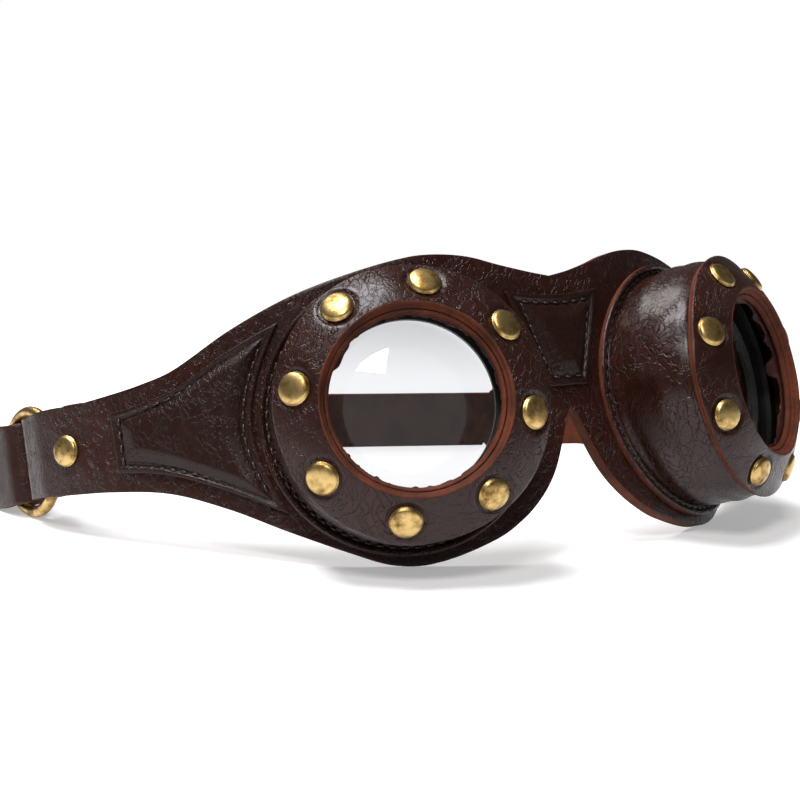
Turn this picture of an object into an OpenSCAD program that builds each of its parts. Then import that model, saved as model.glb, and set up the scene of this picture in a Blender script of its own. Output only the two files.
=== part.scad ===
// Riveted leather goggles on a curved mask, lying as they do on a table.
// The front is drawn in its own frame: x to the wearer's left, y back, z up the mask,
// from the midpoint of the two eye rims. It is then leaned back and lifted on to the floor.
// The strap stands on the floor on its lower edge, and the floor is z = 0.

/* [Mask] */
// Thickness of the front leather
mask_thick = 2.0; // [1.6:0.1:2.6]
// Thickness of the lining leather
lining_thick = 1.2; // [0.8:0.1:1.6]
// Radius of the mask round the face, seen from above
mask_curve_r = 112; // [104:1:125]
// Distance of the nose bridge behind the eye rims
bridge_setback = 11; // [9:0.5:14]
// Height of the mask's top edge over the bridge
bridge_rise = 29.5; // [27:0.5:33]
// Height of the mask's top edge over each eye
lobe_rise = 36.5; // [35.5:0.5:40]
// Depth of the mask's lower edge under each eye
lobe_drop = 35.4; // [35:0.2:38]
// Depth of the top of the nose notch
notch_drop = 2.6; // [2:0.2:6]
// Length of each half of the mask, from the nose to its folded end
wing_len = 144.2; // [140:0.2:150]
// Width of each wing where it is folded round its ring
wing_w = 20.0; // [17:0.2:20]
// Lean of the mask back from upright, as it lies
lean = 19.4; // [15:0.2:24]

/* [Wing bends] */
// Turn of the main curve of the wearer's right wing
right_turn = 70; // [62:1:72]
// Radius of the bend near the end of the right wing
right_bend_r = 12; // [8:1:16]
// Heading of the right wing at its end
right_heading = 84; // [80:1:90]
// Turn of the main curve of the wearer's left wing
left_turn = 65; // [60:1:68]
// Radius of the bend near the end of the left wing
left_bend_r = 20; // [14:1:22]
// Heading of the left wing at its end
left_heading = 100; // [92:1:104]

/* [Eye cups] */
// Distance between the centres of the two eye rims
eye_spacing = 104.1; // [102:0.1:108]
// Angle by which each cup looks outward
eye_yaw = 24.7; // [20:0.1:28]
// Radius of the hole in each eye rim, at its front
rim_hole_r = 21.5; // [20:0.1:22]
// Angle at which each rim slopes back from its hole
rim_slope = 32; // [24:1:34]
// Outer radius of each eye rim
rim_r = 31.5; // [31:0.1:33]
// Thickness of each eye rim
rim_thick = 2.4; // [2:0.1:3]
// Outer radius of the cup's wall
cup_r = 30.4; // [30:0.1:30.8]
// Thickness of the cup's leather
cup_thick = 1.5; // [1.2:0.1:1.8]
// How far the cup's wall bulges at its middle
cup_bulge = 0.7; // [0:0.1:1.2]
// Outer radius of the stitched foot that turns out on the mask
foot_r = 33.2; // [32.6:0.1:34]
// Thickness of that foot
foot_thick = 1.6; // [1.2:0.1:2]
// Radius of the eye holes in the mask and lining
eye_hole_r = 28.5; // [27:0.1:28.8]

/* [Lenses] */
// Radius of each lens
lens_r = 24.0; // [22:0.1:25]
// Thickness of each lens
lens_thick = 2.0; // [1.5:0.1:3]
// Depth of each lens behind the front of its rim
lens_depth = 9.0; // [8:0.1:11]
// Length of the black lens holder
holder_len = 11.0; // [9.5:0.1:12]
// Width of the ledge that each lens rests on
ledge_w = 4.5; // [3:0.1:4.6]
// Thickness of the retaining ring behind each lens
retainer_thick = 1.5; // [1:0.1:2]

/* [Rivets] */
// Radius of the domed rivet caps
cap_r = 3.85; // [3.2:0.05:4]
// Height of the rivet caps
cap_h = 1.7; // [1.2:0.1:2.2]
// Radius of the rivet posts
post_r = 1.4; // [1:0.1:1.8]
// Radius of the heads at the back
back_head_r = 2.0; // [1.8:0.05:2.05]
// Thickness of the heads at the back
back_head_h = 0.8; // [0.6:0.1:1]
// Rivets round each eye
rivet_count = 8; // [6:1:10]
// Radius of the circle that the rivets stand on
rivet_circle_r = 26.8; // [25.5:0.1:27]
// First rivet of the right eye, clockwise from the top as seen from the front
right_rivet_turn = 13.5; // [0:0.5:44]
// First rivet of the left eye, the same way
left_rivet_turn = 20.9; // [0:0.1:44]
// Distance of the wing rivets from the folded ends
wing_rivet_inset = 15.4; // [14.8:0.2:18]

/* [Patches] */
// Thickness of the padded patches at their edges
patch_edge = 1.2; // [0.8:0.1:1.6]
// Crown of the padded patches over their edges
patch_crown = 1.0; // [0.5:0.1:1.6]
// Gap between a patch and the cup's foot
patch_gap = 1.2; // [0.8:0.1:2]
// Length of the temple patches
temple_patch_len = 37; // [30:1:42]
// Margin from a temple patch to the mask's top and lower edges
temple_patch_margin = 4.6; // [3.5:0.1:6]
// Height of the nose patch's lower edge over the eye centres
nose_patch_low = 2.3; // [1:0.1:5]
// Height of the nose patch's top edge over the eye centres
nose_patch_high = 26.0; // [22:0.5:27]

/* [Rings] */
// Radius of the ring's wire
wire_r = 1.5; // [1.2:0.1:1.6]
// Radius of the ring to the middle of its wire
ring_r = 12.5; // [12.4:0.1:14]
// Clearance round the wire inside the folds
ring_gap = 0.8; // [0.8:0.1:1.2]
// Distance from a ring's centre to the wing's fold
wing_fold_gap = 2.1; // [1.8:0.1:2.4]
// Distance from a ring's centre to the strap's fold
strap_fold_gap = 0.4; // [0.3:0.1:0.8]

/* [Strap] */
// Thickness of the strap
strap_thick = 2.2; // [1.8:0.1:2.4]
// Width of the strap at its back
strap_w = 16.3; // [14:0.1:18]
// Width of the strap where it is folded round a ring
strap_ring_w = 20.2; // [18:0.1:20.4]
// Heading of the strap where it leaves the left side
strap_left_heading = 160; // [154:0.5:164]
// Heading of the strap where it comes back to the right side
strap_right_heading = 203; // [200:0.5:212]
// Radius of the strap's wide bend at the back
strap_back_r = 40; // [30:1:50]
// Radius of the strap's bends beside the rings
strap_side_r = 9; // [8:0.5:12]
// Straight lead of the strap out of each ring
strap_lead = 13; // [12:0.5:16]
// Distance of the strap's rivets from the ring centres
strap_rivet_inset = 29; // [27:0.5:32]
// Length of the strap's folded tongues past the ring centres
strap_tongue = 35; // [33:0.5:38]
// Distance from the right ring to the buckle's heel bar
buckle_inset = 72; // [70:0.5:78]
// Length of the strap's tip past the heel bar
tip_len = 33; // [26:0.5:36]
// Pitch of the adjusting holes
hole_pitch = 12; // [10:0.5:14]
// Radius of the adjusting holes
hole_r = 1.6; // [1.3:0.1:2]

/* [Buckle] */
// Radius of the buckle's bars
bar_r = 1.1; // [0.9:0.05:1.3]
// Distance between the heel bar and the front bar
buckle_len = 13; // [12:0.5:16]
// Clearance between the strap and the buckle's sides
buckle_side_gap = 0.7; // [0.4:0.1:1.2]
// Radius of the prong
prong_r = 0.9; // [0.7:0.05:1]
// Distance from the heel bar to the keeper
keeper_inset = 21; // [20:0.5:24]
// Width of the keeper along the strap
keeper_w = 8; // [6:0.5:10]
// Thickness of the keeper
keeper_thick = 1.5; // [1.2:0.1:2]
// Clearance of the keeper round both straps
keeper_gap = 0.35; // [0.3:0.05:0.6]

/* [Hidden] */
$fn = 64;

// Sides: the wearer's right is -1, and lies at the left of a view from the front
RIGHT = -1;
LEFT = 1;
fit_gap = 0.1;
bore_gap = 0.05;
seat_gap = 0.3;
touch_gap = 0.02;
cap_edge = 0.4;
fold_steps = 10;
leather_brown = "#3a211a";
raw_brown = "#6e3a22";
brass_gold = "#b08d45";

function lerp(a, b, t) = a + (b - a) * t;
function smooth(lo, hi, x) = let (t = min(1, max(0, (x - lo) / (hi - lo)))) t * t * (3 - 2 * t);
function soft_max(a, b, soft) = (a + b + norm([a - b, soft])) / 2;
function unit(v) = v / norm(v);
function arc_len(r, turn) = r * turn * PI / 180;
function arc_step(r, from, to) = r * [sin(to) - sin(from), cos(from) - cos(to)];
function along(heading) = [cos(heading), sin(heading)];
function outward(heading) = [sin(heading), -cos(heading)];

// Smooth height of an edge at station x, through hand-set points [station, height]
function edge_slope(p, i) = let (a = p[max(0, i - 1)], b = p[min(len(p) - 1, i + 1)])
    (b[1] - a[1]) / (b[0] - a[0]);
function edge_at(p, x) = let (
    i = max([for (k = [0 : len(p) - 2]) if (k == 0 || p[k][0] <= x) k]),
    w = p[i + 1][0] - p[i][0], t = (x - p[i][0]) / w,
    m0 = edge_slope(p, i) * w, m1 = edge_slope(p, i + 1) * w)
    (2 * t * t * t - 3 * t * t + 1) * p[i][1] + (t * t * t - 2 * t * t + t) * m0
    + (3 * t * t - 2 * t * t * t) * p[i + 1][1] + (t * t * t - t * t) * m1;

// Plan of the mask's front surface at distance s from the nose: [x, y, heading]
function wing_turn(side) = side == RIGHT ? right_turn : left_turn;
function wing_bend_r(side) = side == RIGHT ? right_bend_r : left_bend_r;
function wing_heading(side) = side == RIGHT ? right_heading : left_heading;
function main_len(side) = arc_len(mask_curve_r, wing_turn(side));
function bend_len(side) = arc_len(wing_bend_r(side), wing_heading(side) - wing_turn(side));
function plan_heading(s, side) = s <= main_len(side) ? s / mask_curve_r * 180 / PI
    : min(wing_heading(side), wing_turn(side) + (s - main_len(side)) / wing_bend_r(side) * 180 / PI);
function plan_xy(s, side) = let (h = plan_heading(s, side), t = wing_turn(side),
    rest = max(0, s - main_len(side) - bend_len(side)))
    [0, bridge_setback] + arc_step(mask_curve_r, 0, min(h, t))
    + (h > t ? arc_step(wing_bend_r(side), t, h) : [0, 0]) + rest * along(h);
// A point at distance s, a depth behind the front surface and a height z; x mirrored by side
function mask_point(s, depth, z, side) =
    let (p = plan_xy(s, side) - depth * outward(plan_heading(s, side))) [side * p[0], p[1], z];

// Where each cup's axis meets the mask: the axis starts at the rim's centre and runs back inward
eye_x = eye_spacing / 2;
axis_back = [-sin(eye_yaw), cos(eye_yaw)];
arc_centre = [0, bridge_setback + mask_curve_r];
to_centre = arc_centre - [eye_x, 0];
axis_mid = to_centre * axis_back;
cup_depth = axis_mid - sqrt(mask_curve_r ^ 2 - norm(to_centre) ^ 2 + axis_mid ^ 2);
eye_on_mask = [eye_x, 0] + cup_depth * axis_back;
eye_s = arc_len(mask_curve_r, asin(eye_on_mask[0] / mask_curve_r));

// Rings: each centre stands behind the wing's front surface, on the floor at its lowest point
pocket_half = wire_r + ring_gap;
ring_out_r = ring_r + wire_r;
ring_depth = mask_thick + pocket_half;
fold_to_ring = wing_fold_gap + mask_thick + pocket_half;
function ring_xy(side) = let (h = wing_heading(side))
    plan_xy(wing_len, side) - ring_depth * outward(h) + fold_to_ring * along(h);
function ring_drop(side) = sin(wing_heading(side)) * sin(lean);
function ring_z(side) = (wire_r + ring_r * norm([ring_drop(side), cos(lean)])
    - lift + sin(lean) * ring_xy(side)[1]) / cos(lean);

// Height of the mask's edges along the front surface; the ends are as wide as the wing
function share(t) = lerp(eye_s, wing_len, t);
bottom_main = [[0, -notch_drop], [2, -notch_drop - 3], [4, -10.6], [7.5, -17.6], [12, -23.2],
    [18, -28], [26, -32], [eye_s - 3, -lobe_drop], [eye_s + 7, 1 - lobe_drop],
    [share(0.17), -30], [share(0.3), -23.2], [share(0.43), -15.9], [share(0.57), -9.9],
    [share(0.73), -6.8], [share(0.87), -5.2]];
top_main = [[0, bridge_rise], [6, bridge_rise + 1.2], [14, bridge_rise + 3.3],
    [22, lobe_rise - 1.2], [30, lobe_rise], [eye_s - 7, lobe_rise], [eye_s + 7, lobe_rise - 2.2],
    [share(0.22), 30.8], [share(0.37), 25.4], [share(0.52), 18.7], [share(0.61), 16.9],
    [share(0.7), 16.1], [share(0.8), 15.8], [share(0.9), 16.4]];

// The lowest point of the leaned front, which sets how far it is lifted
mask_depth = mask_thick + lining_thick;
lift = max([for (s = [20 : 1 : 70]) let (p = mask_point(s, mask_depth, edge_at(bottom_main, s), LEFT))
    sin(lean) * p[1] - cos(lean) * p[2]]);
function bottom_points(side) = concat(bottom_main, [[wing_len, ring_z(side) - wing_w / 2]]);
function top_points(side) = concat(top_main, [[wing_len, ring_z(side) + wing_w / 2]]);
function mask_low(s, side) = edge_at(bottom_points(side), s);
function mask_high(s, side) = edge_at(top_points(side), s);

// Leaned front to floor
function leaned_dir(v) = [v[0], cos(lean) * v[1] + sin(lean) * v[2],
    cos(lean) * v[2] - sin(lean) * v[1]];
function leaned(p) = leaned_dir(p) + [0, 0, lift];

// Path of the strap's base layer round the back, from the left ring to the right ring
function ring_point(side) = leaned([side * ring_xy(side)[0], ring_xy(side)[1], ring_z(side)]);
function ring_lead(side) = leaned_dir([side * cos(wing_heading(side)), sin(wing_heading(side)), 0]);
function ring_normal(side) = leaned_dir([side * sin(wing_heading(side)), -cos(wing_heading(side)), 0]);
left_lead = atan2(ring_lead(LEFT)[1], ring_lead(LEFT)[0]);
right_lead = 360 + atan2(-ring_lead(RIGHT)[1], -ring_lead(RIGHT)[0]);
function cross2(a, b) = a[0] * b[1] - a[1] * b[0];
function flat(p) = [p[0], p[1]];
strap_turns = [left_lead, strap_left_heading, strap_right_heading, right_lead];
strap_radii = [strap_side_r, strap_back_r, strap_side_r];
closing = flat(ring_point(RIGHT) - ring_point(LEFT)) - strap_lead * (along(left_lead) + along(right_lead))
    - arc_step(strap_side_r, left_lead, strap_left_heading)
    - arc_step(strap_back_r, strap_left_heading, strap_right_heading)
    - arc_step(strap_side_r, strap_right_heading, right_lead);
straight_turns = cross2(along(strap_left_heading), along(strap_right_heading));
straight_left = cross2(closing, along(strap_right_heading)) / straight_turns;
straight_right = cross2(along(strap_left_heading), closing) / straight_turns;
straights = [strap_lead, straight_left, straight_right, strap_lead];
// Each leg is a straight and the bend after it: [length, heading, bend radius, bend turn]
legs = [for (i = [0 : 3]) [straights[i], strap_turns[i], i < 3 ? strap_radii[i] : 1,
    i < 3 ? strap_turns[i + 1] - strap_turns[i] : 0]];
function leg_len(i) = legs[i][0] + arc_len(legs[i][2], legs[i][3]);
strap_total = leg_len(0) + leg_len(1) + leg_len(2) + leg_len(3);
// Position and heading at distance d: [x, y, heading]
function leg_walk(i, p, d) = let (leg = legs[i], bent = max(0, d - leg[0]),
    h = leg[1] + bent / leg[2] * 180 / PI, q = p + min(d, leg[0]) * along(leg[1]))
    d > leg_len(i) && i < 3 ? leg_walk(i + 1, p + leg[0] * along(leg[1])
        + arc_step(leg[2], leg[1], leg[1] + leg[3]), d - leg_len(i))
    : i == 3 ? [p[0] + d * cos(leg[1]), p[1] + d * sin(leg[1]), leg[1]]
    : let (r = q + arc_step(leg[2], leg[1], h)) [r[0], r[1], h];
function strap_plan(d) = leg_walk(0, flat(ring_point(LEFT)), d);

// The strap's frame at distance d: [centre, outward normal, up]
heel_d = strap_total - buckle_inset;
front_d = heel_d - buckle_len;
buckle_lift = buckle_side_gap + 2 * bar_r;
function end_dist(d) = min(d, strap_total - d);
function strap_width(d) = lerp(strap_ring_w, strap_w, smooth(14, 38, end_dist(d)));
function strap_rise(d) = buckle_lift * (smooth(-46, -16, d - heel_d) - smooth(34, 52, d - heel_d));
function lead_slope(side) = ring_lead(side)[2] / norm(flat(ring_lead(side)));
function strap_frame(d) = let (side = d < strap_total / 2 ? LEFT : RIGHT, e = end_dist(d),
    free = smooth(9, 22, e), p = strap_plan(d), half = strap_width(d) / 2,
    up = unit(lerp(leaned_dir([0, 0, 1]), [0, 0, 1], free)),
    face = lerp(ring_normal(side), [sin(p[2]), -cos(p[2]), 0], free), n = unit(face - (face * up) * up),
    on_table = half * up[2] + (strap_thick + pocket_half) * abs(n[2]),
    z = lerp(soft_max(ring_point(side)[2] + lead_slope(side) * e, on_table, 0.8),
        half + strap_rise(d), smooth(12, 26, e)))
    [[p[0], p[1], z], n, up];
function strap_point(d, off, z) = let (f = strap_frame(d)) f[0] + off * f[1] + z * f[2];
// Corners of a slice of strap between two offsets: [inner low, outer low, outer high, inner high]
function strap_slice(d, a, b, half) = [strap_point(d, a, -half), strap_point(d, b, -half),
    strap_point(d, b, half), strap_point(d, a, half)];
// Slice of a fold round a wire at distance d; turn runs from 0, inner side, to 180, outer side
function fold_slice(d, way, r, thick, turn, half) = let (f = strap_frame(d), t = cross(f[2], f[1]),
    dir = -cos(turn) * f[1] - way * sin(turn) * t)
    [f[0] + r * dir - half * f[2], f[0] + (r + thick) * dir - half * f[2],
    f[0] + (r + thick) * dir + half * f[2], f[0] + r * dir + half * f[2]];
function ring_open(e) = pocket_half * (1 - smooth(14.5, 23, e));

// A band of material through a list of four-cornered slices
module band(slices) {
    n = len(slices);
    points = [for (s = slices) for (c = s) c];
    sides = [for (i = [0 : n - 2]) for (k = [0 : 3]) let (a = 4 * i + k, b = 4 * i + (k + 1) % 4)
        each [[a, b, b + 4], [a, b + 4, a + 4]]];
    polyhedron(points, concat(sides, [[2, 1, 0], [3, 2, 0],
        [4 * n - 4, 4 * n - 3, 4 * n - 2], [4 * n - 4, 4 * n - 2, 4 * n - 1]]));
}

// Whole object: origin below the middle of its bounding box
strap_steps = [for (d = [0 : 2 : strap_total]) d];
outer_points = [for (d = strap_steps) strap_point(d, strap_thick + ring_open(end_dist(d)), 0)];
wing_points = [for (side = [RIGHT, LEFT]) for (s = [wing_len - 40 : 1 : wing_len])
    mask_point(s, 0, 0, side)];
rivet_s = wing_len - wing_rivet_inset;
function cap_reach(h) = norm([cap_r * cos(h), (cap_h - cap_edge) * sin(h)]) + cap_edge * sin(h);
x_list = concat([for (p = concat(outer_points, wing_points)) p[0]], [for (side = [RIGHT, LEFT])
    mask_point(rivet_s, 0, 0, side)[0] + side * cap_reach(plan_heading(rivet_s, side))]);
back_y = max([for (p = outer_points) p[1]]);
function rim_height(r, depth) = (rivet_circle_r - r) * tan(rim_slope) - depth / cos(rim_slope);
// Corner of an edge cut square through the sloping rim at a depth in it: [radius, height]
function rim_cut(r, depth) = let (q = r - depth * sin(rim_slope)) [q, rim_height(q, depth)];
function eye_turn(side) = side == RIGHT ? -right_rivet_turn : -left_rivet_turn;
function ahead(side) = [-side * cos(lean) * sin(eye_yaw), -sin(lean), cos(lean) * cos(eye_yaw)];
function rim_reach(p) = p[0] * norm([ahead(LEFT)[0], ahead(LEFT)[1]]) + p[1] * ahead(LEFT)[2];
function rivet_reach(side, turn) = let (radial = [-sin(turn), cos(turn), 0],
    n = sin(rim_slope) * radial + [0, 0, cos(rim_slope)])
    rivet_circle_r * radial * ahead(side) + cap_reach(asin(n * ahead(side)));
front_y = -max(concat([for (r = [rim_hole_r, rim_r]) rim_reach(rim_cut(r, 0))],
    [for (side = [RIGHT, LEFT]) for (i = [0 : rivet_count - 1])
        rivet_reach(side, eye_turn(side) + i * 360 / rivet_count)]));
mid = [(max(x_list) + min(x_list)) / 2, (back_y + front_y) / 2, 0];
module placed() { translate(-mid) children(); }
module on_floor() { placed() translate([0, 0, lift]) rotate([-lean, 0, 0]) children(); }

// The mask: one leather from the right wing's tongue to the left wing's tongue
// The wing's layers share their stations, so that they lie flat on each other
tongue_start = rivet_s - 7.6;
lining_len = tongue_start - 1.5;
wing_steps = steps(tongue_start, wing_len, 1.6);
face_steps = concat([for (s = [0 : 1 : 22]) s], [for (s = [24 : 2 : 62]) s], steps(65, lining_len, 3));
function steps(from, to, step) = [for (i = [0 : ceil(abs(to - from) / step)])
    lerp(from, to, i / ceil(abs(to - from) / step))];
function sheet_slice(s, front, back, low, high, side) = [mask_point(s, back, low, side),
    mask_point(s, front, low, side), mask_point(s, front, high, side), mask_point(s, back, high, side)];
function wing_open(s) = pocket_half * smooth(wing_len - 13, wing_len - 7.6, s);
function tongue_slice(s, side) = let (d = mask_thick + 2 * wing_open(s) + touch_gap,
    low = max(ring_z(side) - wing_w / 2, mask_low(s, side) + seat_gap),
    high = min(ring_z(side) + wing_w / 2, mask_high(s, side) - seat_gap))
    sheet_slice(s, d + mask_thick, d, low, high, side);
function wing_fold(turn, side) = let (c = plan_xy(wing_len, side)
    - (mask_thick + pocket_half) * outward(wing_heading(side)), dir = cos(turn) * outward(wing_heading(side))
    + sin(turn) * along(wing_heading(side)), low = ring_z(side) - wing_w / 2,
    high = ring_z(side) + wing_w / 2, a = c + pocket_half * dir, b = c + (pocket_half + mask_thick) * dir)
    [[side * a[0], a[1], low], [side * b[0], b[1], low], [side * b[0], b[1], high],
    [side * a[0], a[1], high]];
function reversed(list) = [for (i = [len(list) - 1 : -1 : 0]) list[i]];
function wing_slices(side) = concat(
    [for (s = concat(face_steps, wing_steps))
        sheet_slice(s, 0, mask_thick, mask_low(s, side), mask_high(s, side), side)],
    [for (turn = [180 / fold_steps : 180 / fold_steps : 179]) wing_fold(turn, side)],
    [for (s = reversed(wing_steps)) tongue_slice(s, side)]);
module eye_holes(r) {
    for (side = [RIGHT, LEFT]) cup_axis(side) translate([0, 0, -60]) cylinder(r = r, h = 60);
}
// Places children on a cup's axis: z runs forward from the rim's face, y up, x to the left
module cup_axis(side) {
    translate([side * eye_x, 0, 0]) rotate([90, 0, side * eye_yaw]) children();
}
// Places children on the mask's front surface: z runs forward, y up
module on_wing(s, side, z) {
    p = mask_point(s, 0, z, side);
    translate(p) rotate([90, 0, side * plan_heading(s, side)]) children();
}
wing_grip = 2 * mask_thick;
module wing_rivet_place(side) {
    on_wing(rivet_s, side, (mask_low(rivet_s, side) + mask_high(rivet_s, side)) / 2) children();
}

module mask() {
    color(leather_brown) on_floor() difference() {
        band(concat(reversed(wing_slices(RIGHT)), [for (i = [1 : len(wing_slices(LEFT)) - 1])
            wing_slices(LEFT)[i]]));
        eye_holes(eye_hole_r);
        for (side = [RIGHT, LEFT]) wing_rivet_place(side) {
            translate([0, 0, -3 * mask_thick]) cylinder(r = post_r + bore_gap, h = 4 * mask_thick);
            translate([0, 0, -3 * mask_thick]) cylinder(r = back_head_r + bore_gap,
                h = 3 * mask_thick - wing_grip);
        }
    }
}

// The lining lies on the back of the mask, and stops short of the wings' tongues
module mask_lining() {
    half = [for (side = [RIGHT, LEFT]) [for (s = face_steps) sheet_slice(s, mask_thick,
        mask_depth, mask_low(s, side), mask_high(s, side), side)]];
    color(raw_brown) on_floor() difference() {
        band(concat(reversed(half[0]), [for (i = [1 : len(half[1]) - 1]) half[1][i]]));
        eye_holes(eye_hole_r);
    }
}

// A padded patch over the mask, with an edge, a sewn line and a crown
patch_seam = 2.2;
patch_lift = 0.06;
seam_sink = 0.35;
function crown(d) = patch_edge + patch_crown * smooth(patch_seam, patch_seam + 3.5, d)
    - seam_sink * (smooth(patch_seam - 1.4, patch_seam, d) - smooth(patch_seam, patch_seam + 1.2, d));
// A point of a patch; a side of 0 is the bridge, where a station may be negative
function patch_point(s, depth, z, side) = mask_point(abs(s), depth, z,
    side != 0 ? side : s < 0 ? RIGHT : LEFT);
// Rows are lists of [station, height, distance to the patch's edge]
module padded_patch(rows, side) {
    n = len(rows);
    m = len(rows[0]);
    top = [for (r = rows) for (q = r) patch_point(q[0], -patch_lift - crown(q[2]), q[1], side)];
    base = [for (r = rows) for (q = r) patch_point(q[0], -patch_lift, q[1], side)];
    cells = [for (i = [0 : n - 2]) for (k = [0 : m - 2]) let (a = i * m + k)
        each [[a, a + 1, a + m + 1], [a, a + m + 1, a + m]]];
    rim = concat([for (k = [0 : m - 1]) k], [for (i = [1 : n - 1]) i * m + m - 1],
        [for (k = [m - 2 : -1 : 0]) (n - 1) * m + k], [for (i = [n - 2 : -1 : 1]) i * m]);
    wall = [for (i = [0 : len(rim) - 1]) let (a = rim[i], b = rim[(i + 1) % len(rim)])
        each [[b, a, a + n * m], [b, a + n * m, b + n * m]]];
    faces = concat(cells, [for (f = cells) [f[2], f[1], f[0]] + n * m * [1, 1, 1]], wall);
    polyhedron(concat(top, base), side == RIGHT ? [for (f = faces) [f[2], f[1], f[0]]] : faces);
}
// Distances from one edge at which a patch has its rows: close at the seam, open over the crown
function patch_stops(width) = let (near = [0, 0.9, 1.6, patch_seam, 2.9, 4, 5.7])
    concat(near, [for (t = [0.25 : 0.25 : 0.75]) lerp(5.7, width - 5.7, t)],
    [for (i = [len(near) - 1 : -1 : 0]) width - near[i]]);
lateral_centre = (arc_centre - [eye_x, 0]) * along(eye_yaw);
// Station on the temple's side where the mask is a distance off a cup's axis, at a height
function beside_cup(r, z) = arc_len(mask_curve_r, eye_yaw
    + asin((sqrt(r ^ 2 - z ^ 2) - lateral_centre) / mask_curve_r));
temple_corner = eye_s + 30;
temple_far = temple_corner + temple_patch_len + 2.5;
function temple_low(s) = edge_at(bottom_main, s) + temple_patch_margin;
function temple_high(s) = edge_at(top_main, s) - temple_patch_margin;
module temple_patch(side) {
    across = patch_stops(20) / 20;
    rows = [for (a = patch_stops(temple_patch_len)) [for (b = across) let (
        wide_z = lerp(temple_low(temple_corner), temple_high(temple_corner), b),
        near = beside_cup(foot_r + patch_gap, wide_z),
        s = lerp(near, temple_far, a / temple_patch_len),
        low = temple_low(s), high = temple_high(s))
        [s, lerp(low, high, b), min(a, temple_patch_len - a, b * (high - low), (1 - b) * (high - low))]]];
    color(leather_brown) on_floor() padded_patch(rows, side);
}
module temple_patch_right() { temple_patch(RIGHT); }
module temple_patch_left() { temple_patch(LEFT); }

// The nose patch spans the bridge between the cups, wider at its sagging top
nose_patch_low_w = 5.6;
nose_patch_top_w = 14;
nose_patch_sag = 1.4;
module nose_patch() {
    tall = nose_patch_high - nose_patch_low;
    across = patch_stops(16) / 16;
    rows = [for (a = across) [for (b = patch_stops(tall)) let (
        half = lerp(nose_patch_low_w, nose_patch_top_w, b / tall), x = lerp(-half, half, a),
        sag = nose_patch_sag * b / tall * (1 - (x / half) ^ 2))
        [x, nose_patch_low + b - sag, min(a * 2 * half, (1 - a) * 2 * half, b, tall - b)]]];
    color(leather_brown) on_floor() padded_patch(rows, 0);
}

// Region of the plan between two depths of the mask, for trimming what stands on it
module mask_band(front, back) {
    linear_extrude(2 * foot_r + 20, center = true) polygon(concat(
        [for (s = face_steps) flat(mask_point(s, front, 0, LEFT))],
        [for (s = reversed(face_steps)) flat(mask_point(s, back, 0, LEFT))]));
}

// A cup: its wall, the lip turned in under the eye rim and the foot turned out on the mask
lip_back = rim_thick + cup_thick;
lip_show = 0.4;
wall_end = 36;
inner_r = cup_r - cup_thick;
module cup_turned() {
    bulge = [for (t = [0 : 1 / 8 : 1]) [cup_bulge * sin(180 * t),
        lerp(rim_height(cup_r, rim_thick), -cup_depth, t)]];
    rotate_extrude() polygon(concat([for (d = [lip_back, rim_thick]) rim_cut(rim_hole_r - lip_show, d)],
        [for (b = bulge) [cup_r + b[0], b[1]]],
        [[cup_r, -wall_end], [inner_r, -wall_end], [inner_r, rim_height(inner_r, lip_back)]]));
}
module cup(side) {
    color(leather_brown) on_floor() mirror([side == RIGHT ? 1 : 0, 0, 0]) {
        difference() {
            cup_axis(LEFT) difference() {
                cup_turned();
                rivet_holes(side * eye_turn(side));
            }
            mask_band(0, 40);
        }
        intersection() {
            cup_axis(LEFT) translate([0, 0, -wall_end]) difference() {
                cylinder(r = foot_r, h = wall_end);
                translate([0, 0, -1]) cylinder(r = cup_r - touch_gap, h = wall_end + 2);
            }
            mask_band(-foot_thick, 0);
        }
    }
}
module cup_right() { cup(RIGHT); }
module cup_left() { cup(LEFT); }

// Repeats children round the rivet circle, square to the rim, the first at a turn from the top
module rivet_circle(turn) {
    for (i = [0 : rivet_count - 1]) rotate([0, 0, turn + i * 360 / rivet_count])
        translate([0, rivet_circle_r, 0]) rotate([-rim_slope, 0, 0]) children();
}
module rivet_holes(turn) {
    rivet_circle(turn) translate([0, 0, -2 * lip_back]) cylinder(r = post_r + bore_gap, h = 3 * lip_back);
}
// A capped rivet on a grip: its cap stands on z = 0 and its back head is clenched behind
module rivet(grip) {
    rotate_extrude() polygon(concat([[0, cap_h]],
        [for (t = [10 : 10 : 90]) [cap_r * sin(t), cap_edge + (cap_h - cap_edge) * cos(t)]],
        [[cap_r, 0], [post_r, 0], [post_r, -grip], [back_head_r, -grip],
        [back_head_r, -grip - back_head_h], [0, -grip - back_head_h]]));
}
module eye_rim(side) {
    color(leather_brown) on_floor() cup_axis(side) difference() {
        rotate_extrude() polygon([rim_cut(rim_hole_r, 0), rim_cut(rim_r, 0), rim_cut(rim_r, rim_thick),
            rim_cut(rim_hole_r, rim_thick)]);
        rivet_holes(eye_turn(side));
    }
}
module eye_rim_right() { eye_rim(RIGHT); }
module eye_rim_left() { eye_rim(LEFT); }
// The back heads stand a little off the curved lip
head_seat = 0.05;
module eye_rivets(side) {
    color(brass_gold) on_floor() cup_axis(side) rivet_circle(eye_turn(side)) rivet(lip_back + head_seat);
}
module eye_rivets_right() { eye_rivets(RIGHT); }
module eye_rivets_left() { eye_rivets(LEFT); }

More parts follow.
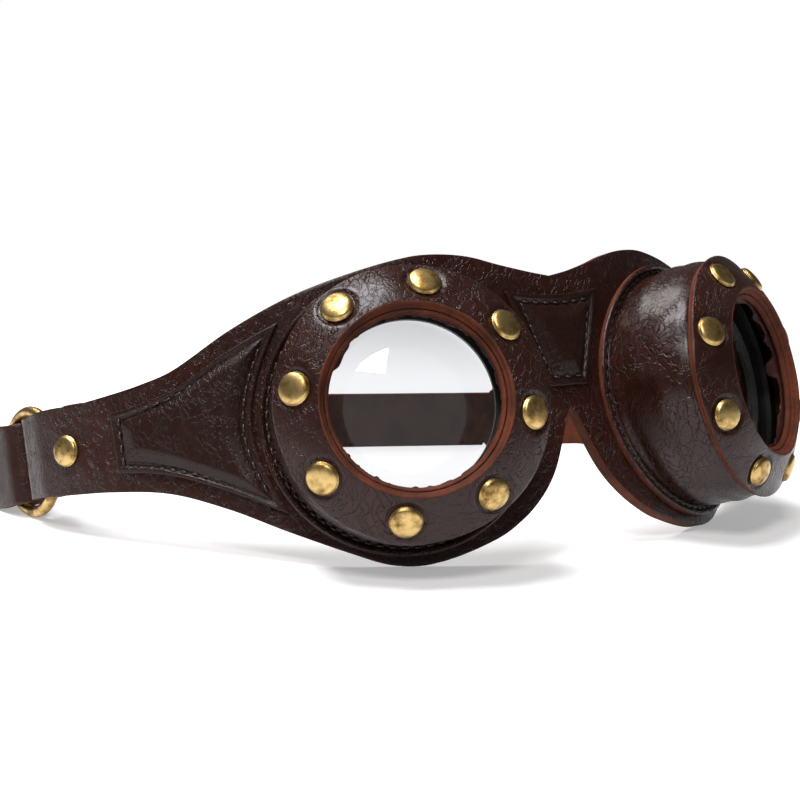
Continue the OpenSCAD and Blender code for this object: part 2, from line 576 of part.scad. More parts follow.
// The lens holder fills the cup behind the rivets and carries the lens on its ledge
holder_r = inner_r - fit_gap;
holder_front = seat_gap - rim_height(holder_r, lip_back);
ledge_thick = 1.5;
module lens_holder(side) {
    color("#15130f") on_floor() cup_axis(side) difference() {
        translate([0, 0, -holder_front - holder_len]) cylinder(r = holder_r, h = holder_len);
        translate([0, 0, -lens_depth + ledge_thick]) cylinder(r = lens_r + 1, h = holder_len);
        translate([0, 0, -holder_front - holder_len - 1]) cylinder(r = lens_r - ledge_w, h = 2 * holder_len);
        translate([0, 0, -lens_depth - holder_len]) cylinder(r = lens_r + fit_gap, h = holder_len);
    }
}
module lens_holder_right() { lens_holder(RIGHT); }
module lens_holder_left() { lens_holder(LEFT); }
module lens(side) {
    color("#c9cfce") on_floor() cup_axis(side) translate([0, 0, -lens_depth - lens_thick])
        cylinder(r = lens_r, h = lens_thick);
}
module lens_right() { lens(RIGHT); }
module lens_left() { lens(LEFT); }
module lens_retainer(side) {
    color("#1c1a17") on_floor() cup_axis(side) difference() {
        translate([0, 0, -lens_depth - lens_thick - retainer_thick]) cylinder(r = lens_r, h = retainer_thick);
        translate([0, 0, -wall_end]) cylinder(r = lens_r - ledge_w + 1, h = wall_end);
    }
}
module lens_retainer_right() { lens_retainer(RIGHT); }
module lens_retainer_left() { lens_retainer(LEFT); }

module wing_rivet(side) {
    color(brass_gold) on_floor() wing_rivet_place(side) rivet(wing_grip);
}
module wing_rivet_right() { wing_rivet(RIGHT); }
module wing_rivet_left() { wing_rivet(LEFT); }
module ring(side) {
    color(brass_gold) on_floor() translate([side * ring_xy(side)[0], ring_xy(side)[1], ring_z(side)])
        rotate([90, 0, side * wing_heading(side)]) rotate_extrude() translate([ring_r, 0]) circle(r = wire_r);
}
module ring_right() { ring(RIGHT); }
module ring_left() { ring(LEFT); }

// Places children on the strap at distance d: x along it, -y outward, z up
module at_strap(d) {
    translate(strap_frame(d)[0]) rotate([0, 0, strap_plan(d)[2]]) children();
}
fold_e = strap_fold_gap + strap_thick + pocket_half;
bar_half = bar_r + 0.15;
function bar_open(x) = bar_half * (1 - smooth(2.5, 9, x));
heel_stack = bar_half + strap_thick + fit_gap;
rest_stack = strap_thick + touch_gap;
// How far the long strap's inner face stands off the base line over the buckle
function stack(d) = d < heel_d ? heel_stack * smooth(front_d + bar_r + seat_gap, heel_d - 1, d)
    : lerp(heel_stack, rest_stack, smooth(heel_d + 1, heel_d + 12, d));
tongue_steps = steps(fold_e, strap_tongue, 1.8);
function fold(d, way, r, turns) = [for (a = turns) fold_slice(d, way, r, strap_thick, a, strap_width(d) / 2)];
turn_up = [for (i = [1 : fold_steps - 1]) i * 180 / fold_steps];
function ring_tongue(ds) = [for (d = ds) let (o = ring_open(end_dist(d)) + touch_gap)
    strap_slice(d, -o, -o - strap_thick, strap_width(d) / 2)];
tip_d = heel_d + tip_len;
tip_round = strap_w / 2;
function tip_half(d) = d < tip_d - tip_round ? strap_width(d) / 2
    : max(1.2, sqrt(max(0, tip_round ^ 2 - (d - tip_d + tip_round) ^ 2)));
module strap_rivet_hole(d) {
    at_strap(d) rotate([90, 0, 0]) cylinder(r = post_r + bore_gap, h = 4 * strap_thick, center = true);
}
hole_count_back = 3;
hole_count_tip = 2;
prong_hole_d = heel_d - 5;
module long_strap() {
    bend_start = strap_total / 2 - 20;
    main = concat(tongue_steps, steps(strap_tongue + 3, bend_start, 4),
        steps(bend_start + 1.6, tip_d - tip_round, 1.6),
        [for (t = [0.25, 0.5, 0.7, 0.85, 0.95, 1]) tip_d - tip_round * (1 - t)]);
    color(leather_brown) placed() difference() {
        band(concat(ring_tongue(reversed(tongue_steps)), fold(fold_e, 1, pocket_half, turn_up),
            [for (d = main) let (o = ring_open(d) + stack(d))
                strap_slice(d, o, o + strap_thick, tip_half(d))]));
        strap_rivet_hole(strap_rivet_inset);
        for (k = [-hole_count_back : hole_count_tip]) at_strap(prong_hole_d + k * hole_pitch)
            rotate([90, 0, 0]) cylinder(r = hole_r, h = 6 * strap_thick, center = true);
        at_strap(heel_d) prong_finger(prong_r + fit_gap);
    }
}
heel_tongue = 13;
module buckle_strap() {
    color(leather_brown) placed() difference() {
        band(concat([for (d = steps(heel_d + heel_tongue, heel_d, 1.5)) let (o = bar_open(d - heel_d) + touch_gap)
                strap_slice(d, -o, -o - strap_thick, strap_width(d) / 2)],
            fold(heel_d, 1, bar_half, turn_up),
            [for (d = concat(steps(heel_d, strap_total - strap_tongue - 2, 1.8),
                [for (e = reversed(tongue_steps)) strap_total - e])) let (
                o = bar_open(d - heel_d) + ring_open(strap_total - d))
                strap_slice(d, o, o + strap_thick, strap_width(d) / 2)],
            fold(strap_total - fold_e, -1, pocket_half, reversed(turn_up)),
            ring_tongue([for (e = tongue_steps) strap_total - e])));
        strap_rivet_hole(strap_total - strap_rivet_inset);
        at_strap(heel_d) translate([-4.5, -5, -prong_r - seat_gap])
            cube([8.5, 10, 2 * (prong_r + seat_gap)]);
    }
}
module strap_rivet(d) {
    color(brass_gold) placed() at_strap(d) translate([0, -strap_thick, 0]) rotate([90, 0, 0])
        rivet(2 * strap_thick + touch_gap);
}
module strap_rivet_right() { strap_rivet(strap_total - strap_rivet_inset); }
module strap_rivet_left() { strap_rivet(strap_rivet_inset); }

// The buckle: the heel bar lies in the buckle strap's fold, the front bar over the long strap
front_off = strap_thick + seat_gap + bar_r;
side_z = strap_w / 2 + buckle_side_gap + bar_r;
frame_turn = atan2(front_off, buckle_len);
frame_reach = norm([buckle_len, front_off]);
module buckle_frame() {
    color(brass_gold) placed() at_strap(heel_d) {
        for (end = [[0, 0], [-buckle_len, -front_off]])
            translate([end[0], end[1], -side_z - bar_r]) cylinder(r = bar_r, h = 2 * (side_z + bar_r));
        for (way = [-1, 1]) translate([0, 0, way * side_z]) rotate([0, -90, frame_turn])
            cylinder(r = bar_r - fit_gap, h = frame_reach);
    }
}
loop_r = bar_r + fit_gap + prong_r;
prong_rise = front_off + bar_r + prong_r + 0.15 - loop_r;
prong_tip = 1.5;
// The prong's finger, as thick as asked, from its loop to its tip beyond the front bar
module prong_finger(r) {
    run = -(1 + prong_tip / buckle_len) * [buckle_len, prong_rise];
    translate([0, -loop_r, 0]) rotate([0, -90, atan2(-run[1], -run[0])]) cylinder(r = r, h = norm(run));
}
module buckle_prong() {
    color(brass_gold) placed() at_strap(heel_d) {
        difference() {
            translate([0, 0, -prong_r - fit_gap]) cylinder(r = loop_r + prong_r, h = 2 * (prong_r + fit_gap));
            translate([0, 0, -2 * prong_r]) cylinder(r = bar_r + fit_gap, h = 4 * prong_r);
        }
        prong_finger(prong_r);
    }
}
module strap_keeper() {
    top = rest_stack + strap_thick + keeper_gap;
    half = strap_w / 2 + keeper_gap;
    color(leather_brown) placed() at_strap(heel_d + keeper_inset) rotate([90, 0, 90])
        linear_extrude(keeper_w, center = true) difference() {
            translate([-top - keeper_thick, -half - keeper_thick])
                square([top + keeper_gap + 2 * keeper_thick, 2 * (half + keeper_thick)]);
            translate([-top, -half]) square([top + keeper_gap, 2 * half]);
        }
}

mask();
mask_lining();
nose_patch();
temple_patch_right();
temple_patch_left();
cup_right();
cup_left();
eye_rim_right();
eye_rim_left();
eye_rivets_right();
eye_rivets_left();
lens_holder_right();
lens_holder_left();
lens_right();
lens_left();
lens_retainer_right();
lens_retainer_left();
wing_rivet_right();
wing_rivet_left();
ring_right();
ring_left();
long_strap();
buckle_strap();
strap_rivet_right();
strap_rivet_left();
buckle_frame();
buckle_prong();
strap_keeper();
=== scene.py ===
"""Steampunk goggles: leather mask with two riveted eye cups and a buckled strap."""
import math

import bmesh
import bpy
import numpy as np
from bpy.props import FloatProperty, FloatVectorProperty, IntProperty, PointerProperty
from mathutils import Matrix, Vector


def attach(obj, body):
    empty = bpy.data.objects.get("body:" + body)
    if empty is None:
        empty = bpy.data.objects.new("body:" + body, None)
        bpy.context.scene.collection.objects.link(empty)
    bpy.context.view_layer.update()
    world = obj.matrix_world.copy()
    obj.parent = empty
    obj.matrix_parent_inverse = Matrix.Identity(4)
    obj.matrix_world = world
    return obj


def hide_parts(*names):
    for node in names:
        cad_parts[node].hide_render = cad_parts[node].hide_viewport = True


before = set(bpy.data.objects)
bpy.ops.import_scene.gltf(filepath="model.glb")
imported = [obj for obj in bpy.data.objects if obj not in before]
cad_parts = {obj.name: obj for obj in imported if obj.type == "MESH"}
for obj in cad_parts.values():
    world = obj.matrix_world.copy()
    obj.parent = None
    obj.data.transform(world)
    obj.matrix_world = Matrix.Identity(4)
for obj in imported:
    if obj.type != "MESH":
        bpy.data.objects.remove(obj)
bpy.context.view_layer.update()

bl_info = {
    "name": "Riveted Leather Goggles",
    "version": (1, 0, 0),
    "blender": (4, 5, 0),
    "location": "3D View > Sidebar > Goggles",
    "description": "Builds leather goggles with riveted eye cups, lenses and a buckled strap",
    "category": "Add Mesh",
}

SIDES = {"right": -1, "left": 1}


def hex_colour(text, alpha=1.0):
    """An sRGB hex colour as linear light."""
    parts = [int(text[i:i + 2], 16) / 255 for i in (1, 3, 5)]
    return tuple(c / 12.92 if c <= 0.04045 else ((c + 0.055) / 1.055) ** 2.4 for c in parts) + (alpha,)


def length(name, default, description):
    """A size in millimetres that a user may change."""
    return FloatProperty(name=name, default=default, min=0.0, description=description)


def colour(name, text, description):
    """A colour that a user may change."""
    return FloatVectorProperty(name=name, default=hex_colour(text), size=4, min=0, max=1,
                               subtype="COLOR", description=description)


class MaskSizes(bpy.types.PropertyGroup):
    """Sizes of the mask, its wings and its patches, in millimetres."""
    thick: length("Leather", 2.0, "Thickness of the front leather")
    lining: length("Lining", 1.2, "Thickness of the lining leather")
    radius: length("Curve radius", 112.0, "Radius of the mask round the face")
    setback: length("Bridge setback", 11.0, "Distance of the nose bridge behind the eye rims")
    bridge_rise: length("Bridge rise", 29.5, "Height of the top edge over the bridge")
    lobe_rise: length("Lobe rise", 36.5, "Height of the top edge over each eye")
    lobe_drop: length("Lobe drop", 35.4, "Depth of the lower edge under each eye")
    notch_drop: length("Notch drop", 2.6, "Depth of the top of the nose notch")
    wing_length: length("Wing length", 144.2, "Length of each half of the mask")
    wing_width: length("Wing width", 20.0, "Width of each wing at its fold")
    rivet_inset: length("Rivet inset", 15.4, "Distance of the wing rivets from the folds")
    patch_edge: length("Patch edge", 1.2, "Thickness of the patches at their edges")
    patch_crown: length("Patch crown", 1.0, "Crown of the padded patches")
    stitch: length("Stitch", 2.9, "Distance from one stitch to the next")


class CupSizes(bpy.types.PropertyGroup):
    """Sizes of the eye cups, their rims and lenses, in millimetres."""
    spacing: length("Eye spacing", 104.1, "Distance between the rims' centres")
    yaw: FloatProperty(name="Turn", default=24.7, description="Degrees that each cup looks outward")
    hole: length("Hole radius", 21.5, "Radius of the hole at the front of each rim")
    slope: FloatProperty(name="Slope", default=32, description="Degrees that each rim slopes back")
    rim: length("Rim radius", 31.5, "Outer radius of each rim")
    rim_thick: length("Rim thickness", 2.4, "Thickness of each rim")
    wall: length("Wall radius", 30.4, "Outer radius of the cup's wall")
    thick: length("Cup leather", 1.5, "Thickness of the cup's leather")
    bulge: length("Bulge", 0.7, "Bulge of the wall at its middle")
    foot: length("Foot radius", 33.2, "Outer radius of the foot on the mask")
    foot_thick: length("Foot thickness", 1.6, "Thickness of the foot")
    eye_hole: length("Eye hole radius", 28.5, "Radius of the eye holes in the mask")
    lens: length("Lens radius", 24.0, "Radius of each lens")
    lens_depth: length("Lens depth", 9.0, "Depth of each lens behind its rim")
    dome: length("Lens dome", 3.4, "Height of the lens's domed front")
    rivets: IntProperty(name="Rivets", default=8, min=3, description="Rivets round each eye")
    rivet_circle: length("Rivet circle", 26.8, "Radius of the circle of rivets")
    cap: length("Cap radius", 3.85, "Radius of the rivet caps")
    cap_high: length("Cap height", 1.7, "Height of the rivet caps")


class StrapSizes(bpy.types.PropertyGroup):
    """Sizes of the rings, the strap and its buckle, in millimetres."""
    wire: length("Ring wire", 1.5, "Radius of the ring's wire")
    ring: length("Ring radius", 12.5, "Radius of the ring to the middle of its wire")
    thick: length("Strap thickness", 2.2, "Thickness of the strap")
    width: length("Strap width", 16.3, "Width of the strap at its back")
    ring_width: length("Width at rings", 20.2, "Width of the strap at the rings")
    holes: length("Hole radius", 1.6, "Radius of the adjusting holes")
    pitch: length("Hole pitch", 12.0, "Distance from one adjusting hole to the next")
    bar: length("Buckle bar", 1.1, "Radius of the buckle's bars")


class FinishColours(bpy.types.PropertyGroup):
    """Colours of the leather, the brass and the lens."""
    leather: colour("Leather", "#200d07", "Body of the dark brown leather")
    leather_light: colour("Worn leather", "#35160e", "Leather where it is pulled up")
    raw_edge: colour("Raw edge", "#63301c", "Cut edges of the leather")
    torn: colour("Torn lip", "#3d1a12", "Torn leather inside the eye holes")
    lining: colour("Lining", "#6b3a24", "Flesh side of the lining")
    strap: colour("Strap", "#24130d", "Waxed strap leather")
    strap_flesh: colour("Strap inside", "#3b2720", "Flesh side of the strap")
    thread: colour("Thread", "#1b100d", "Sewing thread")
    brass: colour("Brass", "#c2a56b", "Worn brass")
    patina: colour("Patina", "#6b5128", "Dark patina in the brass")
    plastic: colour("Lens holder", "#0b0a09", "Black lens holder")
    lens: colour("Lens tint", "#c0c2c3", "Grey tint at the top of the lens")
    lens_foot: colour("Lens foot", "#c8caca", "Clear foot of the lens")


# ---------------------------------------------------------------- places in the front's frame
LEAN = math.radians(19.4)                 # how far the front leans back on the table
LIFT = 41.1067                            # height of the eye centres over the table, mm
MID = np.array([-2.18785, 68.1966, 0.0])  # middle of the whole, from midway between the eyes, mm
SKIN = 0.02                               # gap between two leathers that lie on each other, mm


def leaned_dir(v):
    """Directions turned back by the lean about the x axis."""
    v = np.asarray(v, float)
    return np.stack([v[..., 0], math.cos(LEAN) * v[..., 1] + math.sin(LEAN) * v[..., 2],
                     math.cos(LEAN) * v[..., 2] - math.sin(LEAN) * v[..., 1]], -1)


def leaned(v):
    """Points of the upright front, leaned back, lifted on to the floor and centred."""
    return leaned_dir(v) + [0, 0, LIFT] - MID


def smooth(lo, hi, x):
    """Smooth step from 0 at lo to 1 at hi."""
    t = np.clip((x - lo) / (hi - lo), 0, 1)
    return t * t * (3 - 2 * t)


def waves(seed, count, *coords):
    """Sum of sines of seeded direction and phase over the coordinates, between about -1 and 1."""
    rng = np.random.default_rng(seed)
    total = 0
    for k in range(count):
        turn = rng.normal(size=len(coords))
        total = total + np.sin(sum(a * c for a, c in zip(turn, coords)) + rng.uniform(0, 6.3))
    return total / math.sqrt(count)


def hermite(points, x):
    """Cubic through the points, each slope that of the line between its neighbours."""
    p = np.array(points, float)
    before = p[[0] + list(range(len(p) - 1))]
    after = p[list(range(1, len(p))) + [len(p) - 1]]
    slope = (after[:, 1] - before[:, 1]) / (after[:, 0] - before[:, 0])
    i = np.clip(np.searchsorted(p[:, 0], x, "right") - 1, 0, len(p) - 2)
    w = p[i + 1, 0] - p[i, 0]
    t = (x - p[i, 0]) / w
    return ((2 * t ** 3 - 3 * t ** 2 + 1) * p[i, 1] + (t ** 3 - 2 * t ** 2 + t) * slope[i] * w
            + (3 * t ** 2 - 2 * t ** 3) * p[i + 1, 1] + (t ** 3 - t ** 2) * slope[i + 1] * w)


class Front:
    """Places on the mask, from the sizes in the sidebar. In plan each half is an arc round the face, a
    tighter bend and a straight wing. Angles and radii are kept for the right (-1) and the left (1)."""
    turn = {-1: math.radians(70), 1: math.radians(65)}       # angle of the arc round the face
    bend = {-1: 12.0, 1: 20.0}                               # radius of the bend
    heading = {-1: math.radians(84), 1: math.radians(100)}   # direction of the wing
    gap = 0.8                                                # between the ring's wire and its pocket
    fold_gap = 2.1                                           # from the wing's end to the ring's middle

    def __init__(self, scene):
        self.m, self.c, self.s = scene.goggles_mask, scene.goggles_cups, scene.goggles_strap
        m, c = self.m, self.c
        self.pocket = self.s.wire + self.gap
        self.yaw = math.radians(c.yaw)
        eye = np.array([c.spacing / 2, 0.0])
        centre = np.array([0, m.setback + m.radius])
        lateral = np.array([math.cos(self.yaw), math.sin(self.yaw)])
        back = np.array([-math.sin(self.yaw), math.cos(self.yaw)])
        self.lat_c = (centre - eye) @ lateral
        self.ax_c = (centre - eye) @ back
        depth = self.ax_c - math.sqrt(m.radius ** 2 - self.lat_c ** 2)
        self.eye_s = m.radius * math.asin((eye + depth * back)[0] / m.radius)
        self.cup_depth = depth

    def plan(self, s, side):
        """Plan of the front surface at station s: main arc, end bend, straight; x, y, heading."""
        m, turn, r, head = self.m, self.turn[side], self.bend[side], self.heading[side]
        main = m.radius * turn
        h = np.where(s <= main, s / m.radius, np.minimum(head, turn + (s - main) / r))
        rest = np.maximum(0, s - main - r * (head - turn))
        a, b = np.minimum(h, turn), np.maximum(h, turn)
        x = m.radius * np.sin(a) + r * (np.sin(b) - math.sin(turn)) + rest * np.cos(h)
        y = m.setback + m.radius * (1 - np.cos(a)) + r * (math.cos(turn) - np.cos(b)) + rest * np.sin(h)
        return x, y, h

    def point(self, s, depth, z, side):
        """Point at station s, a depth behind the front surface, at height z."""
        x, y, h = self.plan(s, side)
        x, y, z = np.broadcast_arrays(side * (x - depth * np.sin(h)), y + depth * np.cos(h), z)
        return np.stack([x, y, z], -1)

    def ring_xy(self, side):
        """Middle of the ring in plan: in the fold's pocket, past the wing's end."""
        x, y, h = self.plan(self.m.wing_length, side)
        depth, reach = self.m.thick + self.pocket, self.fold_gap + self.m.thick + self.pocket
        return (x - depth * math.sin(h) + reach * math.cos(h), y + depth * math.cos(h) + reach * math.sin(h))

    def ring_z(self, side):
        """Height of the ring's middle, with the ring's lowest wire on the table."""
        drop = math.sin(self.heading[side]) * math.sin(LEAN)
        low = self.s.wire + self.s.ring * math.hypot(drop, math.cos(LEAN))
        return (low - LIFT + math.sin(LEAN) * self.ring_xy(side)[1]) / math.cos(LEAN)

    def ring_centre(self, side):
        """Middle of the ring on the leaned front."""
        x, y = self.ring_xy(side)
        return leaned([side * x, y, self.ring_z(side)])

    def edges(self, s, side):
        """Heights of the lower and the top edge at station s."""
        m, e = self.m, self.eye_s
        share = [e + (m.wing_length - e) * t for t in (0.17, 0.3, 0.43, 0.57, 0.73, 0.87)]
        low = [(0, -m.notch_drop), (2, -m.notch_drop - 3), (4, -10.6), (7.5, -17.6), (12, -23.2),
               (18, -28), (26, -32), (e - 3, -m.lobe_drop), (e + 7, 1 - m.lobe_drop)]
        low += list(zip(share, (-30, -23.2, -15.9, -9.9, -6.8, -5.2)))
        share = [e + (m.wing_length - e) * t for t in (0.22, 0.37, 0.52, 0.61, 0.7, 0.8, 0.9)]
        top = [(0, m.bridge_rise), (6, m.bridge_rise + 1.2), (14, m.bridge_rise + 3.3),
               (22, m.lobe_rise - 1.2), (30, m.lobe_rise), (e - 7, m.lobe_rise), (e + 7, m.lobe_rise - 2.2)]
        top += list(zip(share, (30.8, 25.4, 18.7, 16.9, 16.1, 15.8, 16.4)))
        z, half = self.ring_z(side), m.wing_width / 2
        return (hermite(low + [(m.wing_length, z - half)], s),
                hermite(top + [(m.wing_length, z + half)], s))

    def cup(self, side, u, v, w):
        """Point by a cup's axis: u across to its outer side, v up, w forward of the rim's face."""
        x = self.c.spacing / 2 + u * math.cos(self.yaw) + w * math.sin(self.yaw)
        y = u * math.sin(self.yaw) - w * math.cos(self.yaw)
        x, y, v = np.broadcast_arrays(side * x, y, v)
        return leaned(np.stack([x, y, v], -1))

    def rim(self, r, depth=0.0):
        """Radius and height of a place in a cup's sloping rim, cut square through it at radius r."""
        slope = math.radians(self.c.slope)
        height = (self.c.rivet_circle - r) * math.tan(slope)
        return r - depth * math.sin(slope), height - depth * math.cos(slope)

    def on_mask(self, u, depth=0.0):
        """Forward distance, in a cup's frame, of the mask's surface at a depth, at u across."""
        return np.sqrt((self.m.radius - depth) ** 2 - (u - self.lat_c) ** 2) - self.ax_c

    def station(self, u):
        """Station of the mask that lies u across from a cup's axis."""
        return self.m.radius * (self.yaw + np.arcsin((u - self.lat_c) / self.m.radius))

    def across(self, s):
        """Distance across from a cup's axis of the mask at station s, on its main arc."""
        return self.lat_c + self.m.radius * np.sin(s / self.m.radius - self.yaw)


class Strap:
    """The strap's path round the back, from the left ring to the right ring: four straights joined by
    three bends, with its two inner straights as long as they must be to close it."""
    headings = (math.radians(160), math.radians(203))   # directions of the two inner straights
    radii = (9.0, 40.0, 9.0)                            # of the three bends
    lead = 13.0             # straight at each ring
    fold_gap = 0.4          # from a fold to its ring
    tongue, rivet = 35.0, 29.0      # from a ring to the end of the folded tongue, and to its rivet
    buckle = 72.0           # from the right ring to the buckle's heel
    tip, keeper = 33.0, 21.0        # from the heel to the long strap's tip, and to the keeper
    buckle_length = 13.0    # from the buckle's heel bar to its front bar
    bar_gap = 0.15          # between a buckle bar and the leather round it

    def __init__(self, front):
        s = self.s = front.s
        self.pocket = front.pocket
        place = {k: front.ring_centre(k) for k in (-1, 1)}
        lead = {k: leaned_dir([k * math.cos(front.heading[k]), math.sin(front.heading[k]), 0])
                for k in (-1, 1)}
        self.normal = {k: leaned_dir([k * math.sin(front.heading[k]), -math.cos(front.heading[k]), 0])
                       for k in (-1, 1)}
        self.ring_point = place
        self.slope = {k: lead[k][2] / math.hypot(lead[k][0], lead[k][1]) for k in (-1, 1)}
        turns = [math.atan2(lead[1][1], lead[1][0]), *self.headings,
                 2 * math.pi + math.atan2(-lead[-1][1], -lead[-1][0])]
        along = [np.array([math.cos(t), math.sin(t)]) for t in turns]
        bends = [r * np.array([math.sin(b) - math.sin(a), math.cos(a) - math.cos(b)])
                 for r, a, b in zip(self.radii, turns[:-1], turns[1:])]
        close = (place[-1] - place[1])[:2] - self.lead * (along[0] + along[3]) - sum(bends)
        straight = np.linalg.solve(np.stack([along[1], along[2]], 1), close)
        runs = [self.lead, straight[0], straight[1], self.lead]
        self.legs, start, d = [], place[1][:2].copy(), 0.0
        for i in range(4):
            r, turn = (self.radii[i], turns[i + 1] - turns[i]) if i < 3 else (1.0, 0.0)
            self.legs.append((d, start, runs[i], turns[i], r, turn))
            d += runs[i] + r * turn
            start = start + runs[i] * along[i] + (bends[i] if i < 3 else 0)
        self.total = d
        self.heel = d - self.buckle
        self.front_d = self.heel - self.buckle_length
        self.tip_d = self.heel + self.tip

    def plan(self, d):
        """Position and heading at distance d: each leg is a straight and then a bend."""
        x, y, h = (np.zeros_like(d) for _ in range(3))
        for k, (d0, start, run, turn, r, bend) in enumerate(self.legs):
            inside = (d >= d0) if k else np.ones_like(d, bool)
            e = d - d0
            bent = np.clip(e - run, 0, r * bend)
            t = turn + bent / r
            line = np.where(e > run + r * bend, run, np.minimum(e, run)) if k < 3 else e
            x = np.where(inside, start[0] + line * math.cos(turn) + r * (np.sin(t) - math.sin(turn)), x)
            y = np.where(inside, start[1] + line * math.sin(turn) + r * (math.cos(turn) - np.cos(t)), y)
            h = np.where(inside, t, h)
        return x, y, h

    def end(self, d):
        """Distance to the nearer end."""
        return np.minimum(d, self.total - d)

    def width(self, d):
        """Width: that of the rings near the ends, easing to that of the back."""
        return self.s.ring_width + (self.s.width - self.s.ring_width) * smooth(14, 38, self.end(d))

    def frame(self, d):
        """Centre, outward normal and up at distance d, settling from the rings on to the floor."""
        d = np.asarray(d, float)
        side = np.where(d < self.total / 2, 1, -1)
        e, free = self.end(d), smooth(9, 22, self.end(d))[..., None]
        x, y, h = self.plan(d)
        half = self.width(d) / 2
        up = (1 - free) * leaned_dir([0, 0, 1]) + free * np.array([0, 0, 1.0])
        up /= np.linalg.norm(up, axis=-1, keepdims=True)
        ringn = np.where((side > 0)[..., None], self.normal[1], self.normal[-1])
        face = (1 - free) * ringn + free * np.stack([np.sin(h), -np.cos(h), 0 * h], -1)
        n = face - (face * up).sum(-1, keepdims=True) * up
        n /= np.linalg.norm(n, axis=-1, keepdims=True)
        table = half * up[..., 2] + (self.s.thick + self.pocket) * abs(n[..., 2])
        slope = np.where(side > 0, self.slope[1], self.slope[-1])
        line = np.where(side > 0, self.ring_point[1][2], self.ring_point[-1][2]) + slope * e
        lift = 0.7 + 2 * self.s.bar
        rise = lift * (smooth(-46, -16, d - self.heel) - smooth(34, 52, d - self.heel))
        z = (line + table + np.hypot(line - table, 0.8)) / 2
        t = smooth(12, 26, e)
        z = (1 - t) * z + t * (half + rise)
        return np.stack([x, y, z], -1), n, up

    def point(self, d, off, z):
        """Point at distance d, off the base line outward, z up."""
        p, n, up = self.frame(d)
        return p + np.asarray(off)[..., None] * n + np.asarray(z)[..., None] * up

    def ring_open(self, d):
        """Half the gap between a folded end's layers, open round the ring's wire."""
        return self.pocket * (1 - smooth(14.5, 23, self.end(d)))

    def bar_open(self, x):
        """Half the gap between the layers folded round the heel bar, x from it."""
        return (self.s.bar + self.bar_gap) * (1 - smooth(2.5, 9, x))

    def stack(self, d):
        """How far the long strap stands off the base line over the buckle."""
        heel = self.s.bar + self.bar_gap + self.s.thick + 0.1
        return np.where(d < self.heel, heel * smooth(self.front_d + self.s.bar + 0.3, self.heel - 1, d),
                        heel + (self.s.thick + SKIN - heel) * smooth(self.heel + 1, self.heel + 12, d))

    def wrap(self, d, way, r, turn):
        """Centre line of a fold round a wire at distance d: turn 0 inner side, pi outer side."""
        p, n, up = self.frame(np.full_like(turn, d))
        side = np.cross(up, n)
        dirs = -np.cos(turn)[:, None] * n - way * np.sin(turn)[:, None] * side
        return p + r * dirs, p + (r + self.s.thick) * dirs, up


# ---------------------------------------------------------------- meshes
def add_piece(name, points, faces, materials, marks=None, weld=False):
    """A piece from points in millimetres and a list of faces, with a mark per face for its finish."""
    mesh = bpy.data.meshes.new(name)
    mesh.from_pydata((np.asarray(points) / 1000).tolist(), [], [list(f) for f in faces])
    for material in materials:
        mesh.materials.append(material)
    if marks is not None:
        mesh.polygons.foreach_set("material_index", np.asarray(marks, np.int32))
    mesh.polygons.foreach_set("use_smooth", np.ones(len(mesh.polygons), bool))
    if weld:
        work = bmesh.new()
        work.from_mesh(mesh)
        bmesh.ops.remove_doubles(work, verts=work.verts, dist=1e-6)
        work.to_mesh(mesh)
        work.free()
    mesh.update()
    if mesh.validate():
        raise RuntimeError(name + " has faces that had to be mended")
    piece = bpy.data.objects.new(name, mesh)
    bpy.context.scene.collection.objects.link(piece)
    return piece


def round_edges(piece, width, limit=50, segments=2):
    """Takes the sharp edges off a piece."""
    bevel = piece.modifiers.new("Soft edges", "BEVEL")
    bevel.width = width / 1000
    bevel.segments = segments
    bevel.limit_method = "ANGLE"
    bevel.angle_limit = math.radians(limit)


def volume_sign(points, quads):
    """Sign of the volume inside closed quads: negative where the faces point inwards."""
    p = np.asarray(points)[np.asarray(quads)]
    halves = [(p[:, 0] * np.cross(p[:, k], p[:, k + 1])).sum() for k in (1, 2)]
    return np.sign(halves[0] + halves[1])


def ring_faces(n, m, wrap_n=True, wrap_m=True):
    """Quads of an n by m grid of points, closed in either direction."""
    i, j = np.arange(n if wrap_n else n - 1), np.arange(m if wrap_m else m - 1)
    a, b = i[:, None] * m + j, ((i + 1) % n)[:, None] * m + j
    c, d = ((i + 1) % n)[:, None] * m + (j + 1) % m, i[:, None] * m + (j + 1) % m
    return np.stack([a, b, c, d], -1).reshape(-1, 4)


def closed_piece(name, grid, materials, marks=None):
    """A piece whose grid of points closes in both directions; marks hold a finish per grid cell."""
    n, m = grid.shape[:2]
    points, quads = grid.reshape(-1, 3), ring_faces(n, m)
    if volume_sign(points - points.mean(0), quads) < 0:
        quads = quads[:, ::-1]
    return add_piece(name, points, quads, materials, None if marks is None else marks.reshape(-1))


